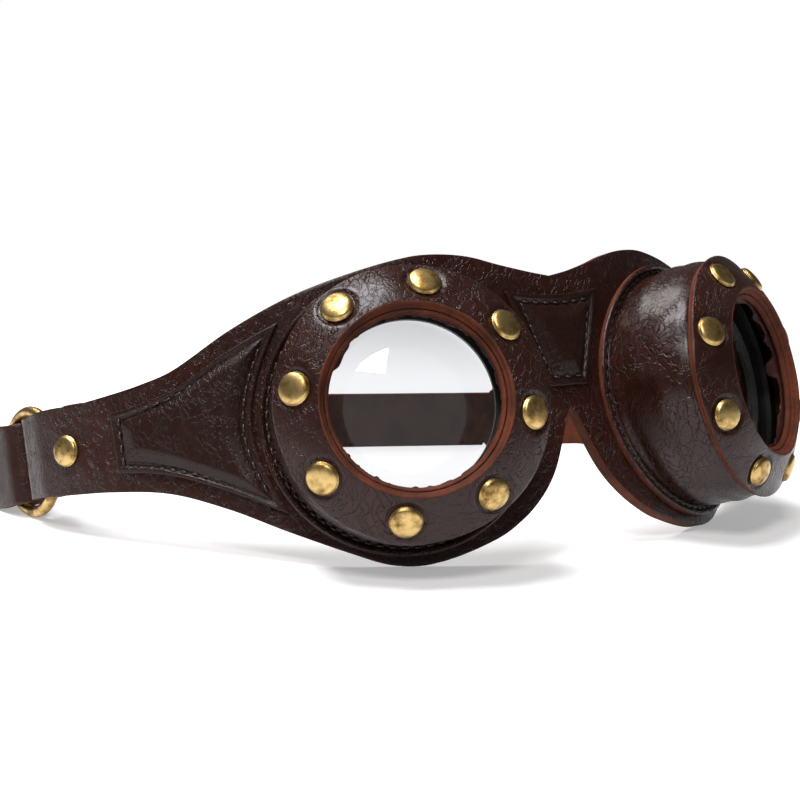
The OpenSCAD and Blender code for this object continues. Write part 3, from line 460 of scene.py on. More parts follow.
def slab(front, back, keep, paint):
    """Closed slab between two grids of points, without the cells that keep leaves out; paint holds a
    finish for each cell of the front."""
    n, m = front.shape[:2]
    at = np.arange(n * m).reshape(n, m)
    a, b, c, d = at[:-1, :-1], at[1:, :-1], at[1:, 1:], at[:-1, 1:]
    cells = np.stack([a, b, c, d], -1)
    pad = np.pad(keep, 1)
    walls = []
    for (p, q), (di, dj) in zip(((a, b), (b, c), (c, d), (d, a)),
                                ((0, -1), (1, 0), (0, 1), (-1, 0))):
        other = pad[1 + di:pad.shape[0] - 1 + di, 1 + dj:pad.shape[1] - 1 + dj]
        edge = keep & ~other
        walls.append(np.stack([p[edge], p[edge] + n * m, q[edge] + n * m, q[edge]], -1))
    cells = cells[keep]
    faces = np.concatenate([cells, cells[:, ::-1] + n * m] + walls)
    marks = np.concatenate([paint[keep], np.ones(len(cells)),
                            np.full(len(faces) - 2 * len(cells), 2)])
    used, faces = np.unique(faces, return_inverse=True)
    points = np.concatenate([front.reshape(-1, 3), back.reshape(-1, 3)])[used]
    return points, faces.reshape(-1, 4), marks


def slab_piece(name, front, back, keep, materials, bevel=0.4, paint=None):
    """A sheet of leather: its finishes are grain side, flesh side and cut edge."""
    points, faces, marks = slab(front, back, keep, np.zeros(keep.shape) if paint is None else paint)
    if volume_sign(points - points.mean(0), faces) < 0:
        faces = faces[:, ::-1]
    piece = add_piece(name, points, faces, materials, marks)
    round_edges(piece, bevel)
    return piece


def cut_circle(u, v, keep, radius):
    """Opens a round hole in a grid with coordinates u, v: cells inside go, corners on its edge are
    moved out along their radius to the circle."""
    r = np.hypot(u, v)
    inside = (r[:-1, :-1] + r[1:, :-1] + r[1:, 1:] + r[:-1, 1:]) / 4 < radius
    near = np.zeros_like(r, bool)
    touch = np.zeros_like(r, bool)
    for i, j in ((0, 0), (1, 0), (1, 1), (0, 1)):
        part = (slice(i, r.shape[0] - 1 + i), slice(j, r.shape[1] - 1 + j))
        near[part] |= inside
        touch[part] |= ~inside
    edge = near & touch
    scale = np.where(edge, radius / np.maximum(r, 1e-6), 1.0)
    return u * scale, v * scale, keep & ~inside, edge


def tube(name, path, radius, materials, sides=14, closed=False):
    """A round bar along a path of points, its cross-section square to the path."""
    path = np.asarray(path, float)
    tangent = np.roll(path, -1, 0) - np.roll(path, 1, 0)
    if not closed:
        tangent[0], tangent[-1] = path[1] - path[0], path[-1] - path[-2]
    tangent /= np.linalg.norm(tangent, axis=1, keepdims=True)
    plane = np.linalg.svd(path - path.mean(0))[2][2]
    side = np.cross(tangent, plane)
    side /= np.linalg.norm(side, axis=1, keepdims=True)
    up = np.cross(side, tangent)
    a = np.linspace(0, 2 * np.pi, sides, endpoint=False)
    radius = np.broadcast_to(radius, (len(path),))
    grid = path[:, None] + radius[:, None, None] * (np.cos(a)[None, :, None] * side[:, None]
                                                    + np.sin(a)[None, :, None] * up[:, None])
    if closed:
        return closed_piece(name, grid, materials)
    faces = ring_faces(len(path), sides, wrap_n=False).tolist()
    last = (len(path) - 1) * sides
    faces += [list(range(sides)), [last + k for k in reversed(range(sides))]]
    piece = add_piece(name, grid.reshape(-1, 3), faces, materials)
    recalc(piece)
    return piece


def recalc(piece):
    """Turns a closed piece's faces outwards."""
    work = bmesh.new()
    work.from_mesh(piece.data)
    bmesh.ops.recalc_face_normals(work, faces=work.faces)
    work.to_mesh(piece.data)
    work.free()


def revolve(centres, axes, profile, sides):
    """Turned solids: the profile of radius and height, carried round each axis at each centre."""
    a = np.linspace(0, 2 * np.pi, sides, endpoint=False)
    all_points, all_faces = [], []
    skew = [0.3, 0.5, 0.8]      # a direction that no axis has
    for k, (centre, axis) in enumerate(zip(centres, axes)):
        axis = axis / np.linalg.norm(axis)
        side = np.cross(axis, skew)
        side /= np.linalg.norm(side)
        other = np.cross(axis, side)
        ring = np.cos(a)[:, None] * side + np.sin(a)[:, None] * other
        grid = centre + profile[:, 0, None, None] * ring[None] + profile[:, 1, None, None] * axis
        faces = ring_faces(len(profile), sides, wrap_n=False)
        all_points.append(grid.reshape(-1, 3))
        all_faces.append(faces[:, ::-1] + k * grid.shape[0] * sides)
    return np.concatenate(all_points), np.concatenate(all_faces)


def sew(name, places, tangents, normals, material, long=2.0, radius=0.33, sink=0.1):
    """A row of stitches, each a short thread along the seam: its radius falls off with the fourth power
    of the distance from its middle, and it arches up as a parabola."""
    rows, sides, tip = 6, 6, 0.06
    t = tangents / np.linalg.norm(tangents, axis=1, keepdims=True)
    n = normals / np.linalg.norm(normals, axis=1, keepdims=True)
    s = np.cross(t, n)
    u = np.linspace(-1, 1, rows)
    a = np.linspace(0, 2 * np.pi, sides, endpoint=False)
    swell = np.sqrt(np.clip(1 - u ** 4, 0.0, 1)) * radius
    swell[[0, -1]] = tip
    lift = -sink + radius * (1 - u ** 2) * 0.6
    grid = (places[:, None, None] + (u * long / 2)[None, :, None, None] * t[:, None, None]
            + lift[None, :, None, None] * n[:, None, None]
            + swell[None, :, None, None] * (np.cos(a)[None, None, :, None] * s[:, None, None]
                                            + np.sin(a)[None, None, :, None] * n[:, None, None]))
    thread, faces = ring_faces(rows, sides, wrap_n=False), []
    for first in range(0, len(places) * rows * sides, rows * sides):
        last = first + (rows - 1) * sides
        faces += (thread + first).tolist()
        faces += [[first + i for i in reversed(range(sides))], [last + i for i in range(sides)]]
    piece = add_piece(name, grid.reshape(-1, 3), faces, [material])
    recalc(piece)
    return piece


def along_curve(curve, step):
    """Evenly spaced places on a curve of points, with the tangent at each over a short reach."""
    reach = 0.4
    gaps = np.linalg.norm(np.diff(curve, axis=0), axis=1)
    walk = np.concatenate([[0], np.cumsum(gaps)])
    count = max(2, int(round(walk[-1] / step)))
    at = (np.arange(count) + 0.5) * walk[-1] / count
    places = np.stack([np.interp(at, walk, curve[:, k]) for k in range(3)], 1)
    ahead = np.stack([np.interp(at + reach, walk, curve[:, k]) for k in range(3)], 1)
    behind = np.stack([np.interp(at - reach, walk, curve[:, k]) for k in range(3)], 1)
    return places, ahead - behind


# ---------------------------------------------------------------- finishes
def add_node(tree, kind, settings=None, links=None):
    """Adds a node, sets its values and links sockets of other nodes into it."""
    node = tree.nodes.new(kind)
    for key, value in (settings or {}).items():
        if isinstance(key, int) or key in node.inputs:
            node.inputs[key].default_value = value
        else:
            setattr(node, key, value)
    for key, source in (links or {}).items():
        tree.links.new(source, node.inputs[key])
    return node


def blank_material(name):
    """A material with an empty node tree."""
    material = bpy.data.materials.get(name) or bpy.data.materials.new(name)
    material.use_nodes = True
    material.node_tree.nodes.clear()
    return material, material.node_tree


def finish_material(tree, shader):
    """Links a shader to the material's output."""
    out = add_node(tree, "ShaderNodeOutputMaterial")
    tree.links.new(shader.outputs[0], out.inputs["Surface"])


def ramp(tree, source, stops):
    """A colour ramp from a list of position and colour."""
    node = add_node(tree, "ShaderNodeValToRGB", links={"Fac": source})
    marks = node.color_ramp.elements
    while len(marks) < len(stops):
        marks.new(0.5)
    for mark, (position, value) in zip(marks, stops):
        mark.position, mark.color = position, value
    return node.outputs["Color"]


def mixed(tree, a, b, factor):
    """Two colours mixed by a factor; each may be a value or a socket."""
    node = add_node(tree, "ShaderNodeMix", {"data_type": "RGBA"})
    for socket, value in ((6, a), (7, b), (0, factor)):
        if isinstance(value, bpy.types.NodeSocket):
            tree.links.new(value, node.inputs[socket])
        else:
            node.inputs[socket].default_value = value
    return node.outputs[2]


def leather_material(name, dark, light, wrinkle=1.0, gloss=0.3, coat=0.25):
    """Chrome-tanned leather, dyed and waxed: glossy dark brown. Its tone clouds over 18 mm, it swells
    over 13 mm, creases 1.6 mm apart and drawn out along the height crack its highlights in patches,
    with wrinkles 2.4 mm wide between them and pores 0.4 mm apart. In those patches the crease lines
    are also painted darker in the colour, as painted shade in the creases. A thin wax film is its coat."""
    material, tree = blank_material(name)
    place = add_node(tree, "ShaderNodeTexCoord").outputs["Object"]
    cloud = add_node(tree, "ShaderNodeTexNoise", {"Scale": 55, "Detail": 5.0, "Roughness": 0.6},
                     {"Vector": place})
    warp = add_node(tree, "ShaderNodeTexNoise", {"Scale": 150, "Detail": 4.0}, {"Vector": place})
    bent = add_node(tree, "ShaderNodeVectorMath", {"operation": "MULTIPLY_ADD", 1: (0.009, 0.009, 0.009)},
                    {0: warp.outputs["Color"], 2: place})
    drawn = add_node(tree, "ShaderNodeVectorMath", {"operation": "MULTIPLY", 1: (1.0, 1.0, 0.38)},
                     {0: bent.outputs[0]})
    crease = add_node(tree, "ShaderNodeTexVoronoi", {"feature": "DISTANCE_TO_EDGE", "Scale": 620},
                      {"Vector": drawn.outputs[0]})
    fold = add_node(tree, "ShaderNodeTexNoise", {"Scale": 420, "Detail": 7.0, "Roughness": 0.72,
                                                 "Distortion": 0.8}, {"Vector": drawn.outputs[0]})
    pores = add_node(tree, "ShaderNodeTexVoronoi", {"Scale": 2400}, {"Vector": place})
    lines = add_node(tree, "ShaderNodeMapRange", {"From Min": 0.0, "From Max": 0.09},
                     {"Value": crease.outputs["Distance"]})
    patchy = add_node(tree, "ShaderNodeMapRange", {"From Min": 0.36, "From Max": 0.56, "To Min": 0.15,
                                                   "To Max": 0.7 * wrinkle}, {"Value": cloud.outputs["Fac"]})
    base = ramp(tree, cloud.outputs["Fac"], [(0.32, tuple(dark)), (0.78, tuple(light))])
    # painted shade in the creases: on each crease line, where the patches allow, the colour goes towards 0.3
    # of the dark tone
    line = add_node(tree, "ShaderNodeMath", {"operation": "SUBTRACT", 0: 1.0}, {1: lines.outputs[0]})
    mask = add_node(tree, "ShaderNodeMath", {"operation": "MULTIPLY"},
                    {0: line.outputs[0], 1: patchy.outputs[0]})
    base = mixed(tree, base, tuple(0.3 * c for c in dark[:3]) + (1,), mask.outputs[0])
    swell = add_node(tree, "ShaderNodeTexNoise", {"Scale": 75, "Detail": 2.0}, {"Vector": place})
    bump = add_node(tree, "ShaderNodeBump", {"Strength": 0.6 * wrinkle, "Distance": 0.0022},
                    {"Height": swell.outputs["Fac"]})
    bump = add_node(tree, "ShaderNodeBump", {"Distance": 0.00035},
                    {"Height": lines.outputs[0], "Strength": patchy.outputs[0], "Normal": bump.outputs[0]})
    bump = add_node(tree, "ShaderNodeBump", {"Strength": 0.45 * wrinkle, "Distance": 0.00025},
                    {"Height": fold.outputs["Fac"], "Normal": bump.outputs[0]})
    bump = add_node(tree, "ShaderNodeBump", {"Strength": 0.12, "Distance": 0.00006},
                    {"Height": pores.outputs["Distance"], "Normal": bump.outputs[0]})
    rough = add_node(tree, "ShaderNodeMapRange", {"From Min": 0.3, "From Max": 0.7, "To Min": gloss - 0.06,
                                                  "To Max": gloss + 0.12}, {"Value": fold.outputs["Fac"]})
    shader = add_node(tree, "ShaderNodeBsdfPrincipled",
                      {"Coat Weight": coat, "Coat Roughness": 0.22, "Coat IOR": 1.4, "IOR": 1.4,
                       "Specular IOR Level": 0.3},
                      {"Base Color": base, "Roughness": rough.outputs[0], "Normal": bump.outputs[0]})
    finish_material(tree, shader)
    return material


def raw_leather_material(name, base, rough=0.75):
    """Cut or flesh side of the leather: matt and lighter than the grain side, with fibres about 1 mm
    long and stains about 7 mm wide."""
    material, tree = blank_material(name)
    place = add_node(tree, "ShaderNodeTexCoord").outputs["Object"]
    fibre = add_node(tree, "ShaderNodeTexNoise", {"Scale": 900, "Detail": 5.0, "Roughness": 0.7},
                     {"Vector": place})
    cloud = add_node(tree, "ShaderNodeTexNoise", {"Scale": 140, "Detail": 3.0}, {"Vector": place})
    dark = tuple(0.4 * c for c in base[:3]) + (1,)
    tone = ramp(tree, cloud.outputs["Fac"], [(0.3, dark), (0.6, tuple(base))])
    tone = mixed(tree, tone, dark, ramp(tree, fibre.outputs["Fac"], [(0.35, (0.6,) * 3 + (1,)),
                                                                    (0.6, (0.0,) * 3 + (1,))]))
    bump = add_node(tree, "ShaderNodeBump", {"Strength": 0.6, "Distance": 0.0002},
                    {"Height": fibre.outputs["Fac"]})
    shader = add_node(tree, "ShaderNodeBsdfPrincipled", {"Roughness": rough, "IOR": 1.45,
                                                             "Specular IOR Level": 0.25},
                      {"Base Color": tone, "Normal": bump.outputs[0]})
    finish_material(tree, shader)
    return material


def brass_material(name, base, patina):
    """Antiqued brass: stamped, darkened and rubbed bright again, with cloudy patina about 3 mm wide,
    rougher than the rubbed metal, and a fine grain of 0.5 mm."""
    material, tree = blank_material(name)
    place = add_node(tree, "ShaderNodeTexCoord").outputs["Object"]
    cloud = add_node(tree, "ShaderNodeTexNoise", {"Scale": 320, "Detail": 5.0, "Roughness": 0.65},
                     {"Vector": place})
    fine = add_node(tree, "ShaderNodeTexNoise", {"Scale": 2200, "Detail": 3.0}, {"Vector": place})
    tone = ramp(tree, cloud.outputs["Fac"], [(0.36, tuple(patina)), (0.58, tuple(base))])
    rough = add_node(tree, "ShaderNodeMapRange", {"From Min": 0.3, "From Max": 0.7, "To Min": 0.46,
                                                  "To Max": 0.3}, {"Value": cloud.outputs["Fac"]})
    bump = add_node(tree, "ShaderNodeBump", {"Strength": 0.2, "Distance": 0.00006},
                    {"Height": fine.outputs["Fac"]})
    shader = add_node(tree, "ShaderNodeBsdfPrincipled", {"Metallic": 1.0},
                      {"Base Color": tone, "Roughness": rough.outputs[0], "Normal": bump.outputs[0]})
    finish_material(tree, shader)
    return material


def plastic_material(name, base):
    """Moulded ABS in matt black: an even surface with a moulding grain of 0.6 mm."""
    material, tree = blank_material(name)
    place = add_node(tree, "ShaderNodeTexCoord").outputs["Object"]
    grain = add_node(tree, "ShaderNodeTexNoise", {"Scale": 1800, "Detail": 2.0}, {"Vector": place})
    bump = add_node(tree, "ShaderNodeBump", {"Strength": 0.15, "Distance": 0.00005},
                    {"Height": grain.outputs["Fac"]})
    shader = add_node(tree, "ShaderNodeBsdfPrincipled", {"Base Color": tuple(base), "Roughness": 0.45,
                                                         "IOR": 1.5}, {"Normal": bump.outputs[0]})
    finish_material(tree, shader)
    return material


def lens_material(name, base, clear):
    """Polycarbonate lens: moulded clear, polished, with a grey tint that fades towards its foot."""
    material, tree = blank_material(name)
    place = add_node(tree, "ShaderNodeTexCoord").outputs["Object"]
    height = add_node(tree, "ShaderNodeSeparateXYZ", links={0: place}).outputs["Z"]
    fade = add_node(tree, "ShaderNodeMapRange", {"From Min": 0.024, "From Max": 0.058}, {"Value": height})
    tint = mixed(tree, tuple(clear), tuple(base), fade.outputs[0])
    shader = add_node(tree, "ShaderNodeBsdfPrincipled",
                      {"Roughness": 0.01, "IOR": 1.5, "Transmission Weight": 1.0}, {"Base Color": tint})
    finish_material(tree, shader)
    return material


def thread_material(name, base):
    """Waxed linen thread: dark, slightly shiny, with a twist about 0.4 mm long along which painted glints
    lighten its colour 2.2 times.
    """
    material, tree = blank_material(name)
    place = add_node(tree, "ShaderNodeTexCoord").outputs["Object"]
    twist = add_node(tree, "ShaderNodeTexNoise", {"Scale": 2600, "Detail": 1.0}, {"Vector": place})
    # painted highlight: glints 2.2 times as bright as the thread, strewn along the twist by noise
    painted_glint = tuple(2.2 * c for c in base[:3]) + (1,)
    tone = ramp(tree, twist.outputs["Fac"], [(0.35, tuple(base)), (0.65, painted_glint)])
    shader = add_node(tree, "ShaderNodeBsdfPrincipled", {"Roughness": 0.4, "IOR": 1.5},
                      {"Base Color": tone})
    finish_material(tree, shader)
    return material


def finishes():
    """The finishes by name, made once from the colours in the sidebar."""
    c = bpy.context.scene.goggles_colours
    if "Waxed leather" not in bpy.data.materials:
        leather_material("Waxed leather", c.leather, c.leather_light, coat=0.2)
        leather_material("Moulded leather", c.leather, c.leather_light, wrinkle=1.2, gloss=0.26, coat=0.35)
        leather_material("Padded leather", c.leather, c.leather, wrinkle=0.5, gloss=0.36, coat=0.1)
        raw_leather_material("Torn leather", c.torn, rough=0.55)
        leather_material("Strap leather", c.strap, c.leather_light, wrinkle=0.5, gloss=0.42, coat=0.1)
        raw_leather_material("Raw leather edge", c.raw_edge)
        raw_leather_material("Leather flesh side", c.lining)
        raw_leather_material("Strap flesh side", c.strap_flesh, rough=0.6)
        raw_leather_material("Natural strap end", c.raw_edge, rough=0.65)
        brass_material("Antique brass", c.brass, c.patina)
        plastic_material("Black ABS", c.plastic)
        lens_material("Polycarbonate lens", c.lens, c.lens_foot)
        thread_material("Waxed thread", c.thread)
    return bpy.data.materials


# ---------------------------------------------------------------- operators
class BuildMask(bpy.types.Operator):
    """Builds the mask's leather with its folded wings, and the lining behind it"""
    bl_idname = "goggles.mask"
    bl_label = "Mask"

    def execute(self, context):
        front, m, f = Front(context.scene), context.scene.goggles_mask, finishes()
        fold_s, t, pocket = m.wing_length, m.thick, front.pocket
        past_rivet, fine_to, step = 7.6, 24, 1.0
        turn_len = math.pi * (pocket + t / 2)
        tongue_start = fold_s - m.rivet_inset - past_rivet
        end = 2 * fold_s + turn_len - tongue_start
        half = np.concatenate([np.arange(0, fine_to, step / 2), np.arange(fine_to, fold_s, step),
                               np.linspace(fold_s, fold_s + turn_len, 15),
                               np.arange(fold_s + turn_len + step, end, step), [end]])
        stations = np.concatenate([-half[:0:-1], half])
        rows = np.linspace(0, 1, 66)

        def profile(s, side):
            """Outer and inner plan points and edge heights at stations that run on past the fold: the
            face follows the front's plan, the fold is a half circle round the ring's wire, and the
            tongue comes back behind the face at its own depth."""
            zc, w = front.ring_z(side), m.wing_width / 2
            x, y, h = front.plan(np.minimum(s, fold_s), side)
            low, high = front.edges(np.minimum(s, fold_s), side)
            outer = np.stack([x, y], -1)
            n = np.stack([np.sin(h), -np.cos(h)], -1)
            inner = outer - t * n
            x0, y0, h0 = front.plan(fold_s, side)
            n0, t0 = np.array([math.sin(h0), -math.cos(h0)]), np.array([math.cos(h0), math.sin(h0)])
            c0 = np.array([x0, y0]) - (t + pocket) * n0
            a = np.clip((s - fold_s) / turn_len, 0, 1)[:, None] * math.pi
            d = np.cos(a) * n0 + np.sin(a) * t0
            back = np.clip(2 * fold_s + turn_len - s, tongue_start, fold_s)
            x, y, h = front.plan(back, side)
            nb = np.stack([np.sin(h), -np.cos(h)], -1)
            open_ = pocket * smooth(fold_s - 13, fold_s - 7.6, back)[:, None]
            deep = t + 2 * open_ + SKIN
            pb = np.stack([x, y], -1)
            fold, tongue = (s > fold_s)[:, None], (s > fold_s + turn_len)[:, None]
            outer = np.where(tongue, pb - (deep + t) * nb, np.where(fold, c0 + (pocket + t) * d, outer))
            inner = np.where(tongue, pb - deep * nb, np.where(fold, c0 + pocket * d, inner))
            lo_b, hi_b = front.edges(back, side)
            inset = 0.3
            low = np.where(tongue[:, 0], np.maximum(zc - w, lo_b + inset),
                           np.where(fold[:, 0], zc - w, low))
            high = np.where(tongue[:, 0], np.minimum(zc + w, hi_b - inset),
                            np.where(fold[:, 0], zc + w, high))
            return outer, inner, low, high

        grids = {side: profile(abs(stations), side) for side in (-1, 1)}
        pick = (stations < 0)[:, None]
        outer, inner = (np.where(pick, grids[-1][k], grids[1][k]) for k in (0, 1))
        low, high = (np.where(pick[:, 0], grids[-1][k], grids[1][k]) for k in (2, 3))
        z = low[:, None] + rows * (high - low)[:, None]
        s = np.repeat(abs(stations)[:, None], len(rows), 1)
        keep = np.ones((len(stations) - 1, len(rows) - 1), bool)
        arc_end, away = 110, 99     # past the eye hole no cell may count as near it
        u = front.across(np.minimum(s, arc_end + 10))
        u2, z2, keep, edge = cut_circle(np.where(s > arc_end, away, u), z, keep,
                                        context.scene.goggles_cups.eye_hole)
        sign = np.where(stations < 0, -1, 1)[:, None]
        s2 = np.where(edge, front.station(u2), s)
        z = np.where(edge, z2, z)

        def lay(points, depth):
            """Grid from plan points, with the hole's edge moved along the mask."""
            flat = np.stack([sign * points[:, None, 0] + 0 * z, points[:, None, 1] + 0 * z, z], -1)
            moved = front.point(s2, depth, z, 1)
            moved[..., 0] *= sign
            return leaned(np.where(edge[..., None], moved, flat))

        piece = slab_piece("mask_leather", lay(outer, 0), lay(inner, t), keep,
                           [f["Waxed leather"], f["Leather flesh side"], f["Raw leather edge"]], 0.45)
        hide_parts("mask")
        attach(piece, "front")

        use = abs(stations) <= tongue_start - 1.5
        idx = np.where(use)[0]
        part = slice(idx[0], idx[-1] + 1)
        deep = t + m.lining
        grid_a = front.point(s2[part], t + SKIN, z[part], 1)
        grid_b = front.point(s2[part], deep, z[part], 1)
        for grid in (grid_a, grid_b):
            grid[..., 0] *= sign[part]
        piece = slab_piece("mask_lining_leather", leaned(grid_a), leaned(grid_b), keep[idx[0]:idx[-1]],
                           [f["Leather flesh side"], f["Leather flesh side"], f["Raw leather edge"]], 0.25)
        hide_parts("mask_lining")
        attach(piece, "front")
        return {"FINISHED"}


SEAM = 2.1      # distance of the seam from a patch's edge, mm
SEAT = 0.06     # gap between a patch and the mask, mm


def crown(m, d):
    """Height of a padded patch at distance d from its edge: the edge's thickness, less a groove along
    the seam, plus smooth steps up at the edge's roll and at the padding."""
    groove, roll = 0.55, 0.12
    return (m.patch_edge + m.patch_crown * smooth(SEAM + 0.2, SEAM + 4.5, d)
            - groove * (smooth(SEAM - 1.1, SEAM - 0.1, d) - smooth(SEAM + 0.1, SEAM + 1.2, d))
            + roll * smooth(0, 1.0, d))


class BuildPatches(bpy.types.Operator):
    """Builds the padded temple patches and the nose patch, with their stitches"""
    bl_idname = "goggles.patches"
    bl_label = "Patches"

    def execute(self, context):
        front, f = Front(context.scene), finishes()
        m, c = front.m, front.c
        look = [f["Padded leather"], f["Leather flesh side"], f["Raw leather edge"]]

        def place(s, depth, z, side):
            """Points on the mask; the right half is the left one mirrored."""
            grid = front.point(abs(s), depth, z, 1)
            grid[..., 0] *= side * np.where(s < 0, -1, 1) if side == 1 else side
            return leaned(grid)

        def temple(a, b):
            """Station and height at a along the patch and b across it, both 0 to 1: even margins to
            the mask's edges, and a wide end that follows the cup's foot."""
            corner, reach, margin, clear = front.eye_s + 30, 39.5, 4.6, 1.2

            def across(s):
                low, high = front.edges(s, 1)
                return low + margin + b * (high - margin - (low + margin))

            near = front.station(np.sqrt((c.foot + clear) ** 2 - across(np.array(corner)) ** 2))
            s = near + (corner + reach - near) * a
            return s, across(s)

        def nose(a, b):
            """Station and height of the nose patch: a trapezium, wider at its top, whose top edge sags
            as a parabola."""
            foot_half, top_half, foot_z, top_z, sag = 5.6, 14, 2.3, 26, 1.4
            x = (2 * a - 1) * (foot_half + (top_half - foot_half) * b)
            return x, foot_z + b * (top_z - foot_z) - sag * b * (1 - (2 * a - 1) ** 2)

        last = 75       # grid cells each way
        for name, shape, side in (("temple_patch_right", temple, -1), ("temple_patch_left", temple, 1),
                                  ("nose_patch", nose, 1)):
            share = np.linspace(0, 1, last + 1)
            a, b = np.meshgrid(share, share, indexing="ij")
            s, z = shape(a, b)
            p = place(s, 0.0, z, side)
            span_a = np.linalg.norm(np.diff(p, axis=0), axis=-1)
            span_b = np.linalg.norm(np.diff(p, axis=1), axis=-1)
            walk_a = np.concatenate([np.zeros((1, last + 1)), np.cumsum(span_a, 0)])
            walk_b = np.concatenate([np.zeros((last + 1, 1)), np.cumsum(span_b, 1)], 1)
            d = np.minimum(np.minimum(walk_a, walk_a[-1:] - walk_a),
                           np.minimum(walk_b, walk_b[:, -1:] - walk_b))
            top = place(s, -SEAT - crown(m, d), z, side)
            base = place(s, -SEAT, z, side)
            keep = np.ones((last, last), bool)
            piece = slab_piece(name + "_leather", top, base, keep, look, 0.3)
            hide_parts(name)
            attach(piece, "front")
            seats, runs, faces = [], [], []
            normal = np.cross(np.gradient(p, axis=0), np.gradient(p, axis=1))
            if (normal.reshape(-1, 3) * (top - base).reshape(-1, 3)).sum() < 0:
                normal = -normal
            t = np.linspace(0, 1, 200)
            ea, eb = SEAM / walk_a[-1].mean(), SEAM / walk_b[:, -1].mean()
            groove = 0.35
            for aa, bb in ((ea + t * (1 - 2 * ea), 0 * t + eb), (0 * t + 1 - ea, eb + t * (1 - 2 * eb)),
                           (1 - ea - t * (1 - 2 * ea), 0 * t + 1 - eb),
                           (0 * t + ea, 1 - eb - t * (1 - 2 * eb))):
                ss, zz = shape(aa, bb)
                curve = place(ss, -SEAT - m.patch_edge + groove, zz, side)
                at, run = along_curve(curve, m.stitch)
                seats.append(at)
                runs.append(run)
                part = np.linspace(0, 1, len(at))
                i, j = (np.clip(np.round(np.interp(part, t, v) * last).astype(int), 0, last)
                        for v in (aa, bb))
                faces.append(normal[i, j])
            piece = sew(name + "_stitches", np.concatenate(seats), np.concatenate(runs),
                        np.concatenate(faces), f["Waxed thread"], long=2.1, radius=0.36, sink=0.05)
            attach(piece, "front")
        return {"FINISHED"}


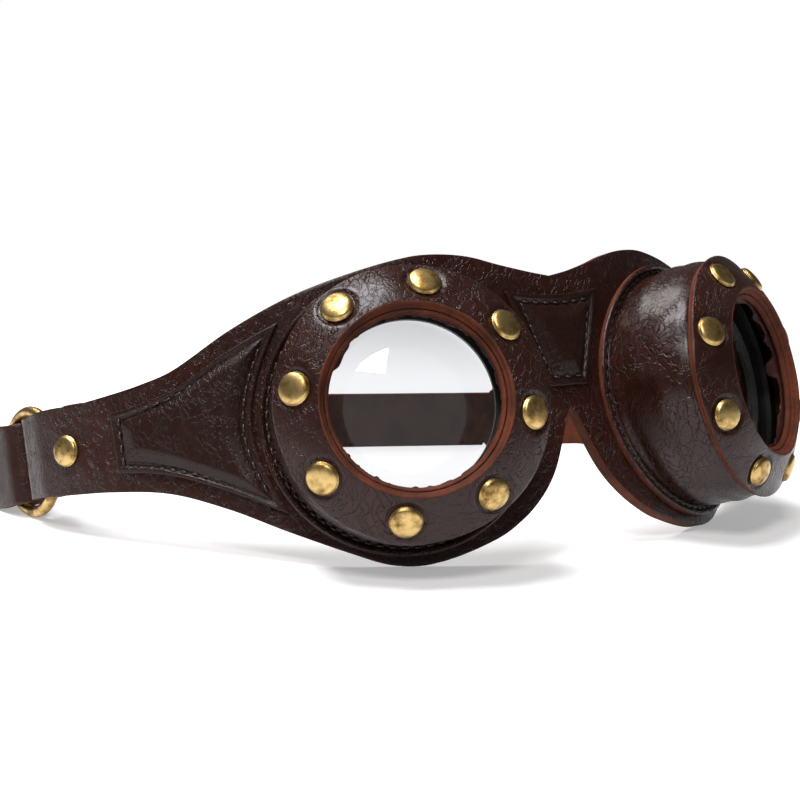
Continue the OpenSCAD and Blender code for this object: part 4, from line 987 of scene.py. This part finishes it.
class BuildCups(bpy.types.Operator):
    """Builds the cups with their stitched feet, the torn lips inside, and the eye rims"""
    bl_idname = "goggles.cups"
    bl_label = "Eye cups"

    def execute(self, context):
        front, f = Front(context.scene), finishes()
        c, m = front.c, front.m
        for name, side in SIDES.items():
            self.cup(front, c, m, f, name, side)
            self.lip(front, c, f, name, side)
            self.rim(front, c, f, name, side)
        return {"FINISHED"}

    def cup(self, front, c, m, f, name, side):
        """The cup: its wall bulges and creases, its foot turns out on the mask, and its lip turns in
        under the rim; a closed profile for each angle."""
        a = np.linspace(0, 2 * np.pi, 480, endpoint=False)
        seed = 5 if side < 0 else 9

        rows, marks = [], []

        def add(r, w, mark=0):
            """One more ring of the profile, at a radius and a forward distance."""
            rows.append((r + 0 * a, w + 0 * a))
            marks.append(mark)

        def foot(r):
            return front.on_mask(r * np.cos(a))

        hem = c.hole - 0.3
        add(*front.rim(hem, c.rim_thick + c.thick - 0.1), 2)
        add(*front.rim(hem, c.rim_thick + 0.15), 2)
        add(*front.rim(hem + 0.2, c.rim_thick + 0.04))
        add(*front.rim(c.rim - 0.9, c.rim_thick + 0.04))
        top = front.rim(c.rim + 0.1, c.rim_thick)[1]
        for t in np.linspace(0.02, 1, 36):
            surface = front.on_mask((c.wall + 0.4) * np.cos(a)) + 0.75
            w = top * (1 - t) + surface * t
            fade = np.sin(np.pi * t) ** 0.6
            fold = 0.3 * waves(seed, 6, 2.2 * a, 5 * t) * waves(seed + 1, 5, 6 * np.cos(a),
                                                                6 * np.sin(a), 9 * t)
            tuck = 0.5 * np.exp(-((t - 0.88) / 0.07) ** 2) * (0.5 + 0.5 * np.sin(3 * a + seed))
            hem_tuck = 0.4 * np.exp(-((t - 0.03) / 0.04) ** 2)
            add(c.wall + c.bulge * np.sin(np.pi * t) - hem_tuck + (fold - tuck) * fade, w)
        for r, h in ((c.wall + 0.45, 0.62), (c.wall + 0.8, 0.6), (c.wall + 1.15, 0.8),
                     (c.wall + 1.5, c.foot_thick - 0.25), (c.wall + 1.9, c.foot_thick),
                     (c.foot - 0.35, c.foot_thick), (c.foot - 0.08, c.foot_thick - 0.12)):
            add(r, foot(r) + h)
        add(c.foot, foot(c.foot) + c.foot_thick - 0.4, 2)
        add(c.foot, foot(c.foot) + 0.35, 2)
        add(c.foot - 0.1, foot(c.foot - 0.1) + 0.03, 2)
        inner = c.wall - c.thick
        add(inner + 0.2, foot(inner + 0.2) + 0.03, 1)
        add(inner, foot(inner) + 0.3, 1)
        slope = math.radians(c.slope)
        low = (c.rivet_circle - inner) * math.tan(slope) - (c.rim_thick + c.thick) / math.cos(slope)
        add(inner, low - 0.3, 1)
        add(inner - 0.3, low + 0.1, 1)
        add(*front.rim(hem + 0.2, c.rim_thick + c.thick), 1)
        r, w = (np.stack([row[k] for row in rows]) for k in (0, 1))
        grid = front.cup(side, r * np.cos(a), r * np.sin(a), w)
        piece = closed_piece("cup_{}_leather".format(name), grid,
                             [f["Moulded leather"], f["Leather flesh side"], f["Raw leather edge"]],
                             np.repeat(np.array(marks)[:, None], len(a), 1))
        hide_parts("cup_" + name)
        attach(piece, "front")
        t = np.linspace(0, 2 * np.pi, 900)
        seam, high = c.wall + 0.75, 0.72
        curve = front.cup(side, seam * np.cos(t), seam * np.sin(t), front.on_mask(seam * np.cos(t)) + high)
        at, run = along_curve(curve, m.stitch)
        middle = front.cup(side, 0.0, 0.0, front.on_mask(0.0))
        away = at - middle
        away /= np.linalg.norm(away, axis=1, keepdims=True)
        ahead = front.cup(side, 0, 0, 1.0) - front.cup(side, 0, 0, 0.0)
        piece = sew("cup_{}_stitches".format(name), at, run, 0.4 * away + ahead, f["Waxed thread"],
                    long=2.0, radius=0.34, sink=0.0)
        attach(piece, "front")

    def lip(self, front, c, f, name, side):
        """Torn edge of the cup's leather inside the hole: a strip whose inner edge wanders in and back by
        sums of sines, coarse for the tears and fine for the fibres and the curl."""
        a = np.linspace(0, 2 * np.pi, 540, endpoint=False)
        seed = 21 if side < 0 else 33
        u, v = np.cos(a), np.sin(a)
        torn = smooth(-0.6, 1.2, waves(seed, 12, 9 * u, 9 * v))
        torn *= 0.25 + 0.75 * smooth(-0.3, 0.5, u)
        fine = waves(seed + 3, 9, 30 * u, 30 * v)
        curl = waves(seed + 5, 7, 22 * u, 22 * v)
        r0, w0 = front.rim(c.hole - 0.1, c.rim_thick + c.thick)
        rows = []
        for t, off in ((0, 0), (0.33, 0), (0.66, 0), (1, 0.03), (1, 0.4), (0.66, 0.45), (0.33, 0.45),
                       (0, 0.45)):
            r = r0 + 0.9 - t * (1.1 + 0.5 * torn + 0.08 * fine) + 0.25 * t * t * curl
            w = w0 - 0.55 - off - t * (0.3 + 2.6 * torn + 0.1 * fine) - 0.3 * t * curl * torn
            rows.append((r, w))
        r, w = (np.stack([row[k] for row in rows]) for k in (0, 1))
        grid = front.cup(side, r * u, r * v, w)
        piece = closed_piece("eye_lip_" + name, grid, [f["Torn leather"]])
        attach(piece, "front")

    def rim(self, front, c, f, name, side):
        """The eye rim: two leathers glued together. Its section is a slanted oblong, domed by a half sine
        across its face and pressed in by a bell curve round each rivet, carried round the axis."""
        a = np.linspace(0, 2 * np.pi, 600, endpoint=False)
        seed = 41 if side < 0 else 57
        turns = rivet_turns(side, c)
        rows, marks, slope = [], [], math.radians(c.slope)

        def face(r):
            """Place on the face: a slight dome, worn waves, and a pressed ring round each rivet."""
            t = (r - c.hole) / (c.rim - c.hole)
            h = 0.35 * math.sin(math.pi * t) - 0.3 * t ** 6 - 0.15 * (1 - t) ** 6
            h = h + 0.12 * waves(seed, 6, 2.5 * r * np.cos(a) / 10, 2.5 * r * np.sin(a) / 10)
            base, w = front.rim(r)
            for turn in turns:
                d = np.sqrt((base * np.cos(a) - c.rivet_circle * math.sin(turn)) ** 2
                            + (base * np.sin(a) - c.rivet_circle * math.cos(turn)) ** 2 + w ** 2)
                h = h - 0.5 * np.exp(-((d - 4.0) / 0.7) ** 2) - 0.3 * (1 - smooth(3.2, 3.9, d))
            return base + h * math.sin(slope), w + h * math.cos(slope)

        def add(r, w, mark=0):
            """One more ring of the section, at a radius and a forward distance."""
            rows.append((r + 0 * a, w + 0 * a))
            marks.append(mark)

        def cut(r, depth, push=0.0):
            """Place on the cut edge at a depth, pushed out along the sloping face."""
            q, w = front.rim(r, depth)
            add(q + push * math.cos(slope), w - push * math.sin(slope), 2)

        wave = 0.12 * waves(seed + 2, 8, 6 * np.cos(a), 6 * np.sin(a))
        for r in np.linspace(c.hole + 0.3, c.rim - 0.4, 42):
            add(*face(r))
        cut(c.rim, 0.35, wave - 0.12)
        for share, push in ((0.25, 0), (0.45, 0), (0.52, -0.22), (0.6, 0.05), (0.9, 0)):
            cut(c.rim, share * c.rim_thick, wave + push)
        cut(c.rim, c.rim_thick, wave - 0.15)
        for r in (c.rim - 2, c.hole + 1.0):
            add(*front.rim(r, c.rim_thick), 1)
        cut(c.hole, c.rim_thick, 0.15)
        for share, push in ((0.9, 0), (0.6, 0.0), (0.52, 0.28), (0.45, -0.04), (0.2, 0)):
            cut(c.hole, share * c.rim_thick, 0.6 * wave + push)
        cut(c.hole, 0.15, 0.1)
        r, w = (np.stack([row[k] for row in rows]) for k in (0, 1))
        grid = front.cup(side, r * np.cos(a), r * np.sin(a), w)
        piece = closed_piece("eye_rim_{}_leather".format(name), grid,
                             [f["Waxed leather"], f["Leather flesh side"], f["Raw leather edge"]],
                             np.repeat(np.array(marks)[:, None], len(a), 1))
        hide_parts("eye_rim_" + name)
        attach(piece, "front")


def rivet_turns(side, c):
    """Angles of the eye rivets from the top, towards the cup's outer side."""
    first = -13.5 if side < 0 else 20.9
    return [math.radians(first + 360 * k / c.rivets) for k in range(c.rivets)]


class BuildRivets(bpy.types.Operator):
    """Builds the domed rivets of the eye rims, the wings and the strap"""
    bl_idname = "goggles.rivets"
    bl_label = "Rivets"

    def execute(self, context):
        front, f = Front(context.scene), finishes()
        strap, c, m = Strap(front), front.c, front.m

        def profile(grip):
            """Half-section: a flattened dome with a rolled edge, the post, and the clenched head."""
            t = np.linspace(0, np.pi / 2, 12)
            dome = np.stack([(c.cap - 0.25) * np.sin(t), 0.6 + (c.cap_high - 0.6) * np.cos(t) ** 0.85], 1)
            roll = np.array([[c.cap - 0.05, 0.5], [c.cap, 0.3], [c.cap - 0.1, 0.05], [c.cap - 0.4, -0.05],
                             [1.4, -0.05], [1.4, -grip], [2.4, -grip], [2.5, -grip - 0.15],
                             [2.4, -grip - 0.65], [1.8, -grip - 0.8], [0, -grip - 0.8]])
            return np.concatenate([dome, roll])

        for name, side in SIDES.items():
            turns = np.array(rivet_turns(side, c))
            pressed, slope = -0.3, math.radians(c.slope)
            place = [front.cup(side, (c.rivet_circle + k * math.sin(slope)) * np.sin(turns),
                               (c.rivet_circle + k * math.sin(slope)) * np.cos(turns), k * math.cos(slope))
                     for k in (pressed, pressed + 1)]
            self.add("eye_rivets_" + name, place[0], place[1] - place[0],
                     profile(c.rim_thick + c.thick + pressed), "front", f)
            s = np.array([m.wing_length - m.rivet_inset])
            low, high = front.edges(s, side)
            x, y, h = front.plan(s, side)
            at = leaned(front.point(s, 0.0, (low + high) / 2, side))
            axis = leaned_dir(np.stack([side * np.sin(h), -np.cos(h), 0 * h], -1))
            self.add("wing_rivet_" + name, at, axis, profile(2 * m.thick + SKIN), "front", f)
            d = strap.total - strap.rivet if side < 0 else strap.rivet
            p, n, up = strap.frame(np.array([d]))
            self.add("strap_rivet_" + name, p + strap.s.thick * n, n, profile(2 * strap.s.thick + SKIN),
                     "strap", f)
        return {"FINISHED"}

    def add(self, name, at, axis, profile, body, f):
        """The rivets of one node: the half-section carried round each axis."""
        points, faces = revolve(at, axis, profile, 40)
        piece = add_piece(name + "_brass", points, faces, [f["Antique brass"]], weld=True)
        recalc(piece)
        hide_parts(name)
        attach(piece, body)


class BuildLenses(bpy.types.Operator):
    """Builds the domed lenses, and finishes their black holders and retaining rings"""
    bl_idname = "goggles.lenses"
    bl_label = "Lenses"

    def execute(self, context):
        front, c, f = Front(context.scene), context.scene.goggles_cups, finishes()
        for name, side in SIDES.items():
            # A spherical dome inside a flat flange, the same in front and behind.
            seat, thick = 19.3, 1.9
            big = (seat ** 2 + c.dome ** 2) / (2 * c.dome)
            r = np.concatenate([np.linspace(0, seat, 26), np.linspace(seat + 0.6, c.lens - 0.1, 6)])
            rise = np.where(r < seat, np.sqrt(big ** 2 - np.minimum(r, seat) ** 2) - (big - c.dome), 0)
            face = np.stack([r, -c.lens_depth + rise], 1)
            back = np.stack([r, -c.lens_depth - thick + rise], 1)[::-1]
            centre = front.cup(side, 0, 0, 0.0)
            axis = front.cup(side, 0, 0, 1.0) - centre
            points, faces = revolve([centre], [axis], np.concatenate([face, back]), 96)
            piece = add_piece("lens_{}_dome".format(name), points, faces, [f["Polycarbonate lens"]],
                              weld=True)
            recalc(piece)
            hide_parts("lens_" + name)
            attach(piece, "front")
            for node in ("lens_holder_" + name, "lens_retainer_" + name):
                paint(node, f["Black ABS"])
        return {"FINISHED"}


def paint(node, material):
    """Gives a CAD node's own object a finish."""
    piece = bpy.data.objects[node]
    if not piece.material_slots:
        piece.data.materials.append(material)
    for slot in piece.material_slots:
        slot.material = material


class BuildRings(bpy.types.Operator):
    """Builds the two rings of round wire"""
    bl_idname = "goggles.rings"
    bl_label = "Rings"

    def execute(self, context):
        front, s, f = Front(context.scene), context.scene.goggles_strap, finishes()
        strap = Strap(front)
        for name, side in SIDES.items():
            # A circle about the ring's normal, its wire a little thinner at the closed butt seam.
            n, centre = strap.normal[side], front.ring_centre(side)
            across = np.cross(n, [0, 0, 1.0])
            across /= np.linalg.norm(across)
            a = np.linspace(0, 2 * np.pi, 120, endpoint=False)
            path = centre + s.ring * (np.cos(a)[:, None] * across + np.sin(a)[:, None] * np.cross(n, across))
            seam = s.wire * (1 - 0.05 * np.exp(-(np.minimum(a, 2 * np.pi - a) / 0.03) ** 2))
            piece = tube("ring_{}_wire".format(name), path, seam, [f["Antique brass"]], 24, closed=True)
            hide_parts("ring_" + name)
            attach(piece, "ring_" + name)
        return {"FINISHED"}


class BuildStraps(bpy.types.Operator):
    """Builds the long strap with its adjusting holes, the buckle strap and the keeper"""
    bl_idname = "goggles.straps"
    bl_label = "Straps"

    def execute(self, context):
        front, s, f = Front(context.scene), context.scene.goggles_strap, finishes()
        strap = Strap(front)
        look = [f["Strap leather"], f["Strap flesh side"], f["Raw leather edge"], f["Natural strap end"]]
        t, pocket = s.thick, strap.pocket
        fold_e = strap.fold_gap + t + pocket
        rows = np.linspace(-1, 1, 22)
        turns = np.linspace(0, np.pi, 15)[1:-1]

        def inner_layer(d, o):
            """Inner layer of a folded end, o behind the base line."""
            half = strap.width(d)[:, None] / 2 * rows
            d2, o2 = np.repeat(d[:, None], len(rows), 1), np.repeat(o[:, None], len(rows), 1)
            return strap.point(d2, -o2, half), strap.point(d2, -o2 - t, half)

        def tongue(d):
            """Inner layer of an end that is folded round its ring."""
            return inner_layer(d, strap.ring_open(d) + SKIN)

        def wrap(d, way, r, angles):
            """The fold itself, from the inner layer (0) to the outer one (pi)."""
            near, far, up = strap.wrap(d, way, r, angles)
            half = strap.width(np.array(d)) / 2 * rows
            lift = half[None, :, None] * up[:, None]
            return near[:, None] + lift, far[:, None] + lift

        def main(d, o, half):
            """Outer layer of the strap."""
            d2, o2 = np.repeat(d[:, None], len(rows), 1), np.repeat(o[:, None], len(rows), 1)
            z = half[:, None] * rows
            return strap.point(d2, o2, z), strap.point(d2, o2 + t, z), d2, z

        def join(*parts):
            """The stretches of a strap in one grid, for its inner and its outer face."""
            return np.concatenate([p[0] for p in parts]), np.concatenate([p[1] for p in parts])

        round_ = s.width / 2
        d = np.concatenate([np.arange(fold_e, strap.tip_d - round_, 0.8),
                            strap.tip_d - round_ * (1 - np.sin(np.linspace(0, np.pi / 2, 12)))])
        blunt = 1.2     # half the width left at the very tip
        arc = np.sqrt(np.maximum(0, round_ ** 2 - (d - strap.tip_d + round_) ** 2))
        half = np.where(d < strap.tip_d - round_, strap.width(d) / 2, np.maximum(blunt, arc))
        off = strap.ring_open(d) + strap.stack(d)
        inner, outer, d2, z = main(d, off, half)
        keep = np.ones((len(d) - 1, len(rows) - 1), bool)
        prong = 5       # the hole in use lies this far before the heel bar
        for k in range(-3, 3):
            u, v, keep, edge = cut_circle(d2 - (strap.heel - prong + k * s.pitch), z, keep, s.holes)
            d2 = np.where(edge, u + strap.heel - prong + k * s.pitch, d2)
            z = np.where(edge, v, z)
        o2 = np.interp(d2, d, off)
        inner, outer = strap.point(d2, o2, z), strap.point(d2, o2 + t, z)
        start = np.arange(strap.tongue, fold_e, -1.2)
        a, b = tongue(start)
        c0, c1 = wrap(fold_e, 1, pocket, turns)
        ins, outs = join((a, b), (c0, c1), (inner, outer))
        full = np.ones((len(ins) - 1, len(rows) - 1), bool)
        full[-len(keep):] = keep
        natural = np.zeros(full.shape)
        natural[:len(a) - 1] = 3
        piece = slab_piece("long_strap_leather", outs, ins, full, look, 0.45, natural)
        self.finish(piece, "long_strap")

        start = np.arange(strap.heel + 13, strap.heel, -1.2)
        first = inner_layer(start, strap.bar_open(start - strap.heel) + SKIN)
        second = wrap(strap.heel, 1, s.bar + strap.bar_gap, turns)
        d = np.arange(strap.heel, strap.total - fold_e, 0.9)
        o = strap.bar_open(d - strap.heel) + strap.ring_open(d)
        third = main(d, o, strap.width(d) / 2)[:2]
        fourth = wrap(strap.total - fold_e, -1, pocket, turns[::-1])
        fifth = tongue(np.arange(strap.total - fold_e, strap.total - strap.tongue, -1.2))
        ins, outs = join(first, second, third, fourth, fifth)
        keep = np.ones((len(ins) - 1, len(rows) - 1), bool)
        folded = np.zeros(len(ins), bool)
        folded[len(start) - 3:len(start) + len(turns) + 5] = True
        slot_half = 1.3     # the prong's slot in the fold
        middle = abs((rows[1:] + rows[:-1]) / 2 * s.width / 2) < slot_half
        keep[np.ix_(folded[:-1] & folded[1:], middle)] = False
        piece = slab_piece("buckle_strap_leather", outs, ins, keep, look, 0.45)
        self.finish(piece, "buckle_strap")
        self.keeper(strap, s, f)
        return {"FINISHED"}

    def keeper(self, strap, s, f):
        """The keeper: a flat loop round both straps. Its section of a distance along the strap and one
        outward is carried round a rounded oblong, the circle with its sine and cosine in a low power."""
        p, n, up = (v[0] for v in strap.frame(np.array([strap.heel + strap.keeper])))
        along = np.cross(up, n)
        clear, power = 0.35, 0.28
        top, low, half = 2 * s.thick + SKIN + clear, clear, s.width / 2 + clear
        a = np.linspace(0, 2 * np.pi, 96, endpoint=False)
        cx, cz = (np.sign(v) * abs(v) ** power for v in (np.cos(a), np.sin(a)))
        section = ((-3.7, 0.12), (-3.2, 0.0), (3.2, 0.0), (3.7, 0.12), (4, 0.5), (4, 1.0), (3.7, 1.38),
                   (3.2, 1.5), (0, 1.55), (-3.2, 1.5), (-3.7, 1.38), (-4, 1.0), (-4, 0.5))
        marks = (0, 0, 0, 2, 2, 2, 0, 0, 0, 0, 2, 2, 2)
        grid = np.stack([p + x * along + ((top - low) / 2 + cx * ((top + low) / 2 + r))[:, None] * n
                         + (cz * (half + r))[:, None] * up for x, r in section])
        piece = closed_piece("strap_keeper_leather", grid,
                             [f["Strap leather"], f["Leather flesh side"], f["Raw leather edge"]],
                             np.repeat(np.array(marks)[:, None], len(a), 1))
        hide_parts("strap_keeper")
        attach(piece, "keeper")

    def finish(self, piece, node):
        """Puts a strap in its CAD node's place on the strap's body."""
        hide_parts(node)
        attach(piece, "strap")


class BuildBuckle(bpy.types.Operator):
    """Builds the buckle's frame of round bar and finishes its prong"""
    bl_idname = "goggles.buckle"
    bl_label = "Buckle"

    def execute(self, context):
        front, s, f = Front(context.scene), context.scene.goggles_strap, finishes()
        strap = Strap(front)
        p, n, up = (v[0] for v in strap.frame(np.array([strap.heel])))
        along = np.cross(up, n)
        if along @ np.array([math.cos(strap.headings[1]), math.sin(strap.headings[1]), 0]) < 0:
            along = -along
        # A rounded oblong of bar: four quarter circles and the straights between them, flat in a plane
        # that rises from the heel bar in the fold to the front bar over the long strap.
        off = s.thick + 0.3 + s.bar
        side = s.width / 2 + 0.7 + s.bar
        corner, step = 2.2, 0.8
        reach = math.hypot(strap.buckle_length, off)
        order = []
        for k, (x, z) in enumerate(((reach - corner, side - corner), (corner, side - corner),
                                    (corner, corner - side), (reach - corner, corner - side))):
            turn = np.linspace(k * math.pi / 2, (k + 1) * math.pi / 2, 9)
            order += [(x + corner * math.cos(v), z + corner * math.sin(v)) for v in turn]
        flat = []
        for i in range(len(order)):
            a, b = np.array(order[i]), np.array(order[(i + 1) % len(order)])
            count = max(1, int(np.linalg.norm(b - a) // step))
            flat += [a + (b - a) * k / count for k in range(count)]
        flat = np.array(flat)
        lean = flat[:, 0] / reach
        points = (p - (lean * strap.buckle_length)[:, None] * along + (lean * off)[:, None] * n
                  + flat[:, 1][:, None] * up)
        piece = tube("buckle_frame_bar", points, s.bar, [f["Antique brass"]], 16, closed=True)
        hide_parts("buckle_frame")
        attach(piece, "strap")
        paint("buckle_prong", f["Antique brass"])
        return {"FINISHED"}


class BuildStage(bpy.types.Operator):
    """Builds the white floor, the studio lights and the camera"""
    bl_idname = "goggles.stage"
    bl_label = "Stage"

    def execute(self, context):
        scene = context.scene
        self.floor(scene)
        self.world(scene)
        self.lamps(scene)
        self.camera(scene)
        scene.view_settings.view_transform = "Standard"
        return {"FINISHED"}

    def floor(self, scene):
        """A white table: it keeps the object's shadow, shows brighter to the camera, to gloss and
        through the lenses, and turns pure white away from the object."""
        size, glow_strength, near, beyond = 6.0, 0.36, 0.22, 0.5
        mesh = bpy.data.meshes.new("floor")
        mesh.from_pydata([(-size, -size, 0), (size, -size, 0), (size, size, 0), (-size, size, 0)], [],
                         [(0, 1, 2, 3)])
        floor = bpy.data.objects.new("floor", mesh)
        scene.collection.objects.link(floor)
        material, tree = blank_material("White table")
        path = add_node(tree, "ShaderNodeLightPath")
        seen = add_node(tree, "ShaderNodeMath", {"operation": "MAXIMUM"},
                        {0: path.outputs["Is Camera Ray"], 1: path.outputs["Is Glossy Ray"]})
        seen = add_node(tree, "ShaderNodeMath", {"operation": "MAXIMUM"},
                        {0: seen.outputs[0], 1: path.outputs["Is Transmission Ray"]})
        white = add_node(tree, "ShaderNodeBsdfDiffuse", {"Color": (0.8, 0.8, 0.8, 1)})
        glow = add_node(tree, "ShaderNodeEmission", {"Color": (1, 1, 1, 1)})
        scale = add_node(tree, "ShaderNodeMath", {"operation": "MULTIPLY", 1: glow_strength},
                         {0: seen.outputs[0]})
        tree.links.new(scale.outputs[0], glow.inputs["Strength"])
        both = add_node(tree, "ShaderNodeAddShader", links={0: white.outputs[0], 1: glow.outputs[0]})
        blank = add_node(tree, "ShaderNodeEmission", {"Color": (1, 1, 1, 1)}, {"Strength": seen.outputs[0]})
        place = add_node(tree, "ShaderNodeTexCoord").outputs["Object"]
        away = add_node(tree, "ShaderNodeVectorMath", {"operation": "LENGTH"}, {0: place})
        far = add_node(tree, "ShaderNodeMapRange", {"From Min": near, "From Max": beyond},
                       {"Value": away.outputs["Value"]})
        both = add_node(tree, "ShaderNodeMixShader", links={0: far.outputs[0], 1: both.outputs[0],
                                                            2: blank.outputs[0]})
        finish_material(tree, both)
        mesh.materials.append(material)

    def world(self, scene):
        """A white room, dimmer on the object than to the camera and through the lenses."""
        dim, full = 0.10, 1.0
        world = bpy.data.worlds.new("studio")
        scene.world = world
        world.use_nodes = True
        tree = world.node_tree
        tree.nodes.clear()
        path = add_node(tree, "ShaderNodeLightPath")
        seen = add_node(tree, "ShaderNodeMath", {"operation": "MAXIMUM"},
                        {0: path.outputs["Is Camera Ray"], 1: path.outputs["Is Transmission Ray"]})
        strength = add_node(tree, "ShaderNodeMapRange", {"To Min": dim, "To Max": full},
                            {"Value": seen.outputs[0]})
        back = add_node(tree, "ShaderNodeBackground", {"Color": (1, 1, 1, 1)},
                        {"Strength": strength.outputs[0]})
        out = add_node(tree, "ShaderNodeOutputWorld")
        tree.links.new(back.outputs[0], out.inputs["Surface"])

    def lamps(self, scene):
        """Soft boxes: a key from the front left, one overhead and one behind."""
        target = Vector((0, -0.03, 0.035))
        for name, place, width, height, power, tint in (
                ("key", (-0.68, -0.79, 1.10), 0.36, 0.34, 9.0, (1.0, 0.985, 0.97)),
                ("overhead", (-0.42, 0.06, 1.32), 0.60, 0.60, 26.0, (0.97, 0.95, 1.0)),
                ("rear", (-0.18, 0.75, 1.05), 0.45, 0.45, 6.0, (1.0, 0.98, 0.95))):
            lamp = bpy.data.lights.new(name, "AREA")
            lamp.shape, lamp.size, lamp.size_y = "RECTANGLE", width, height
            lamp.energy, lamp.color = power, tint
            item = bpy.data.objects.new(name, lamp)
            item.location = place
            item.rotation_euler = (target - Vector(place)).to_track_quat("-Z", "Y").to_euler()
            scene.collection.objects.link(item)

    def camera(self, scene):
        """The photograph's camera, from its place, its angles and its focal length in pixels."""
        focal_pixels, picture_pixels = 1702.8, 800
        station = Vector((-260.62, -303.87, 103.0))
        yaw, pitch, roll = (math.radians(v) for v in (33.94, -9.53, 1.76))
        data = bpy.data.cameras.new("photo_camera")
        data.sensor_width = 36
        data.lens = focal_pixels * data.sensor_width / picture_pixels
        data.clip_start = 0.01
        ahead = Vector((math.sin(yaw) * math.cos(pitch), math.cos(yaw) * math.cos(pitch), math.sin(pitch)))
        right = Vector((math.cos(yaw), -math.sin(yaw), 0))
        up = right.cross(ahead)
        right, up = (math.cos(roll) * right + math.sin(roll) * up,
                     math.cos(roll) * up - math.sin(roll) * right)
        camera = bpy.data.objects.new("photo_camera", data)
        turn = Matrix((right, up, -ahead)).transposed().to_4x4()
        camera.matrix_world = Matrix.Translation((station - Vector(MID)) / 1000) @ turn
        scene.collection.objects.link(camera)
        scene.camera = camera


class GogglesPanel(bpy.types.Panel):
    """Lists the steps that build the goggles"""
    bl_idname = "VIEW3D_PT_goggles"
    bl_label = "Goggles"
    bl_space_type = "VIEW_3D"
    bl_region_type = "UI"
    bl_category = "Goggles"

    def draw(self, context):
        for step in STEPS:
            self.layout.operator(step.bl_idname)
        for name in GROUPS:
            group = getattr(context.scene, name)
            box = self.layout.box()
            for key in group.__annotations__:
                box.prop(group, key)


STEPS = (BuildStage, BuildMask, BuildPatches, BuildCups, BuildRivets, BuildLenses, BuildRings,
         BuildStraps, BuildBuckle)
GROUPS = {"goggles_mask": MaskSizes, "goggles_cups": CupSizes, "goggles_strap": StrapSizes,
          "goggles_colours": FinishColours}


def register():
    """Registers the classes and hangs the groups of sizes on the scene."""
    for item in (*GROUPS.values(), *STEPS, GogglesPanel):
        bpy.utils.register_class(item)
    for name, group in GROUPS.items():
        setattr(bpy.types.Scene, name, PointerProperty(type=group))


def unregister():
    """Takes away what register added."""
    for name in GROUPS:
        delattr(bpy.types.Scene, name)
    for item in reversed((*GROUPS.values(), *STEPS, GogglesPanel)):
        bpy.utils.unregister_class(item)


def main():
    """Registers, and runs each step."""
    register()
    ops = bpy.ops.goggles
    for step in (ops.stage, ops.mask, ops.patches, ops.cups, ops.rivets, ops.lenses, ops.rings, ops.straps,
                 ops.buckle):
        step()
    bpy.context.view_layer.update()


if __name__ == "__main__":
    main()
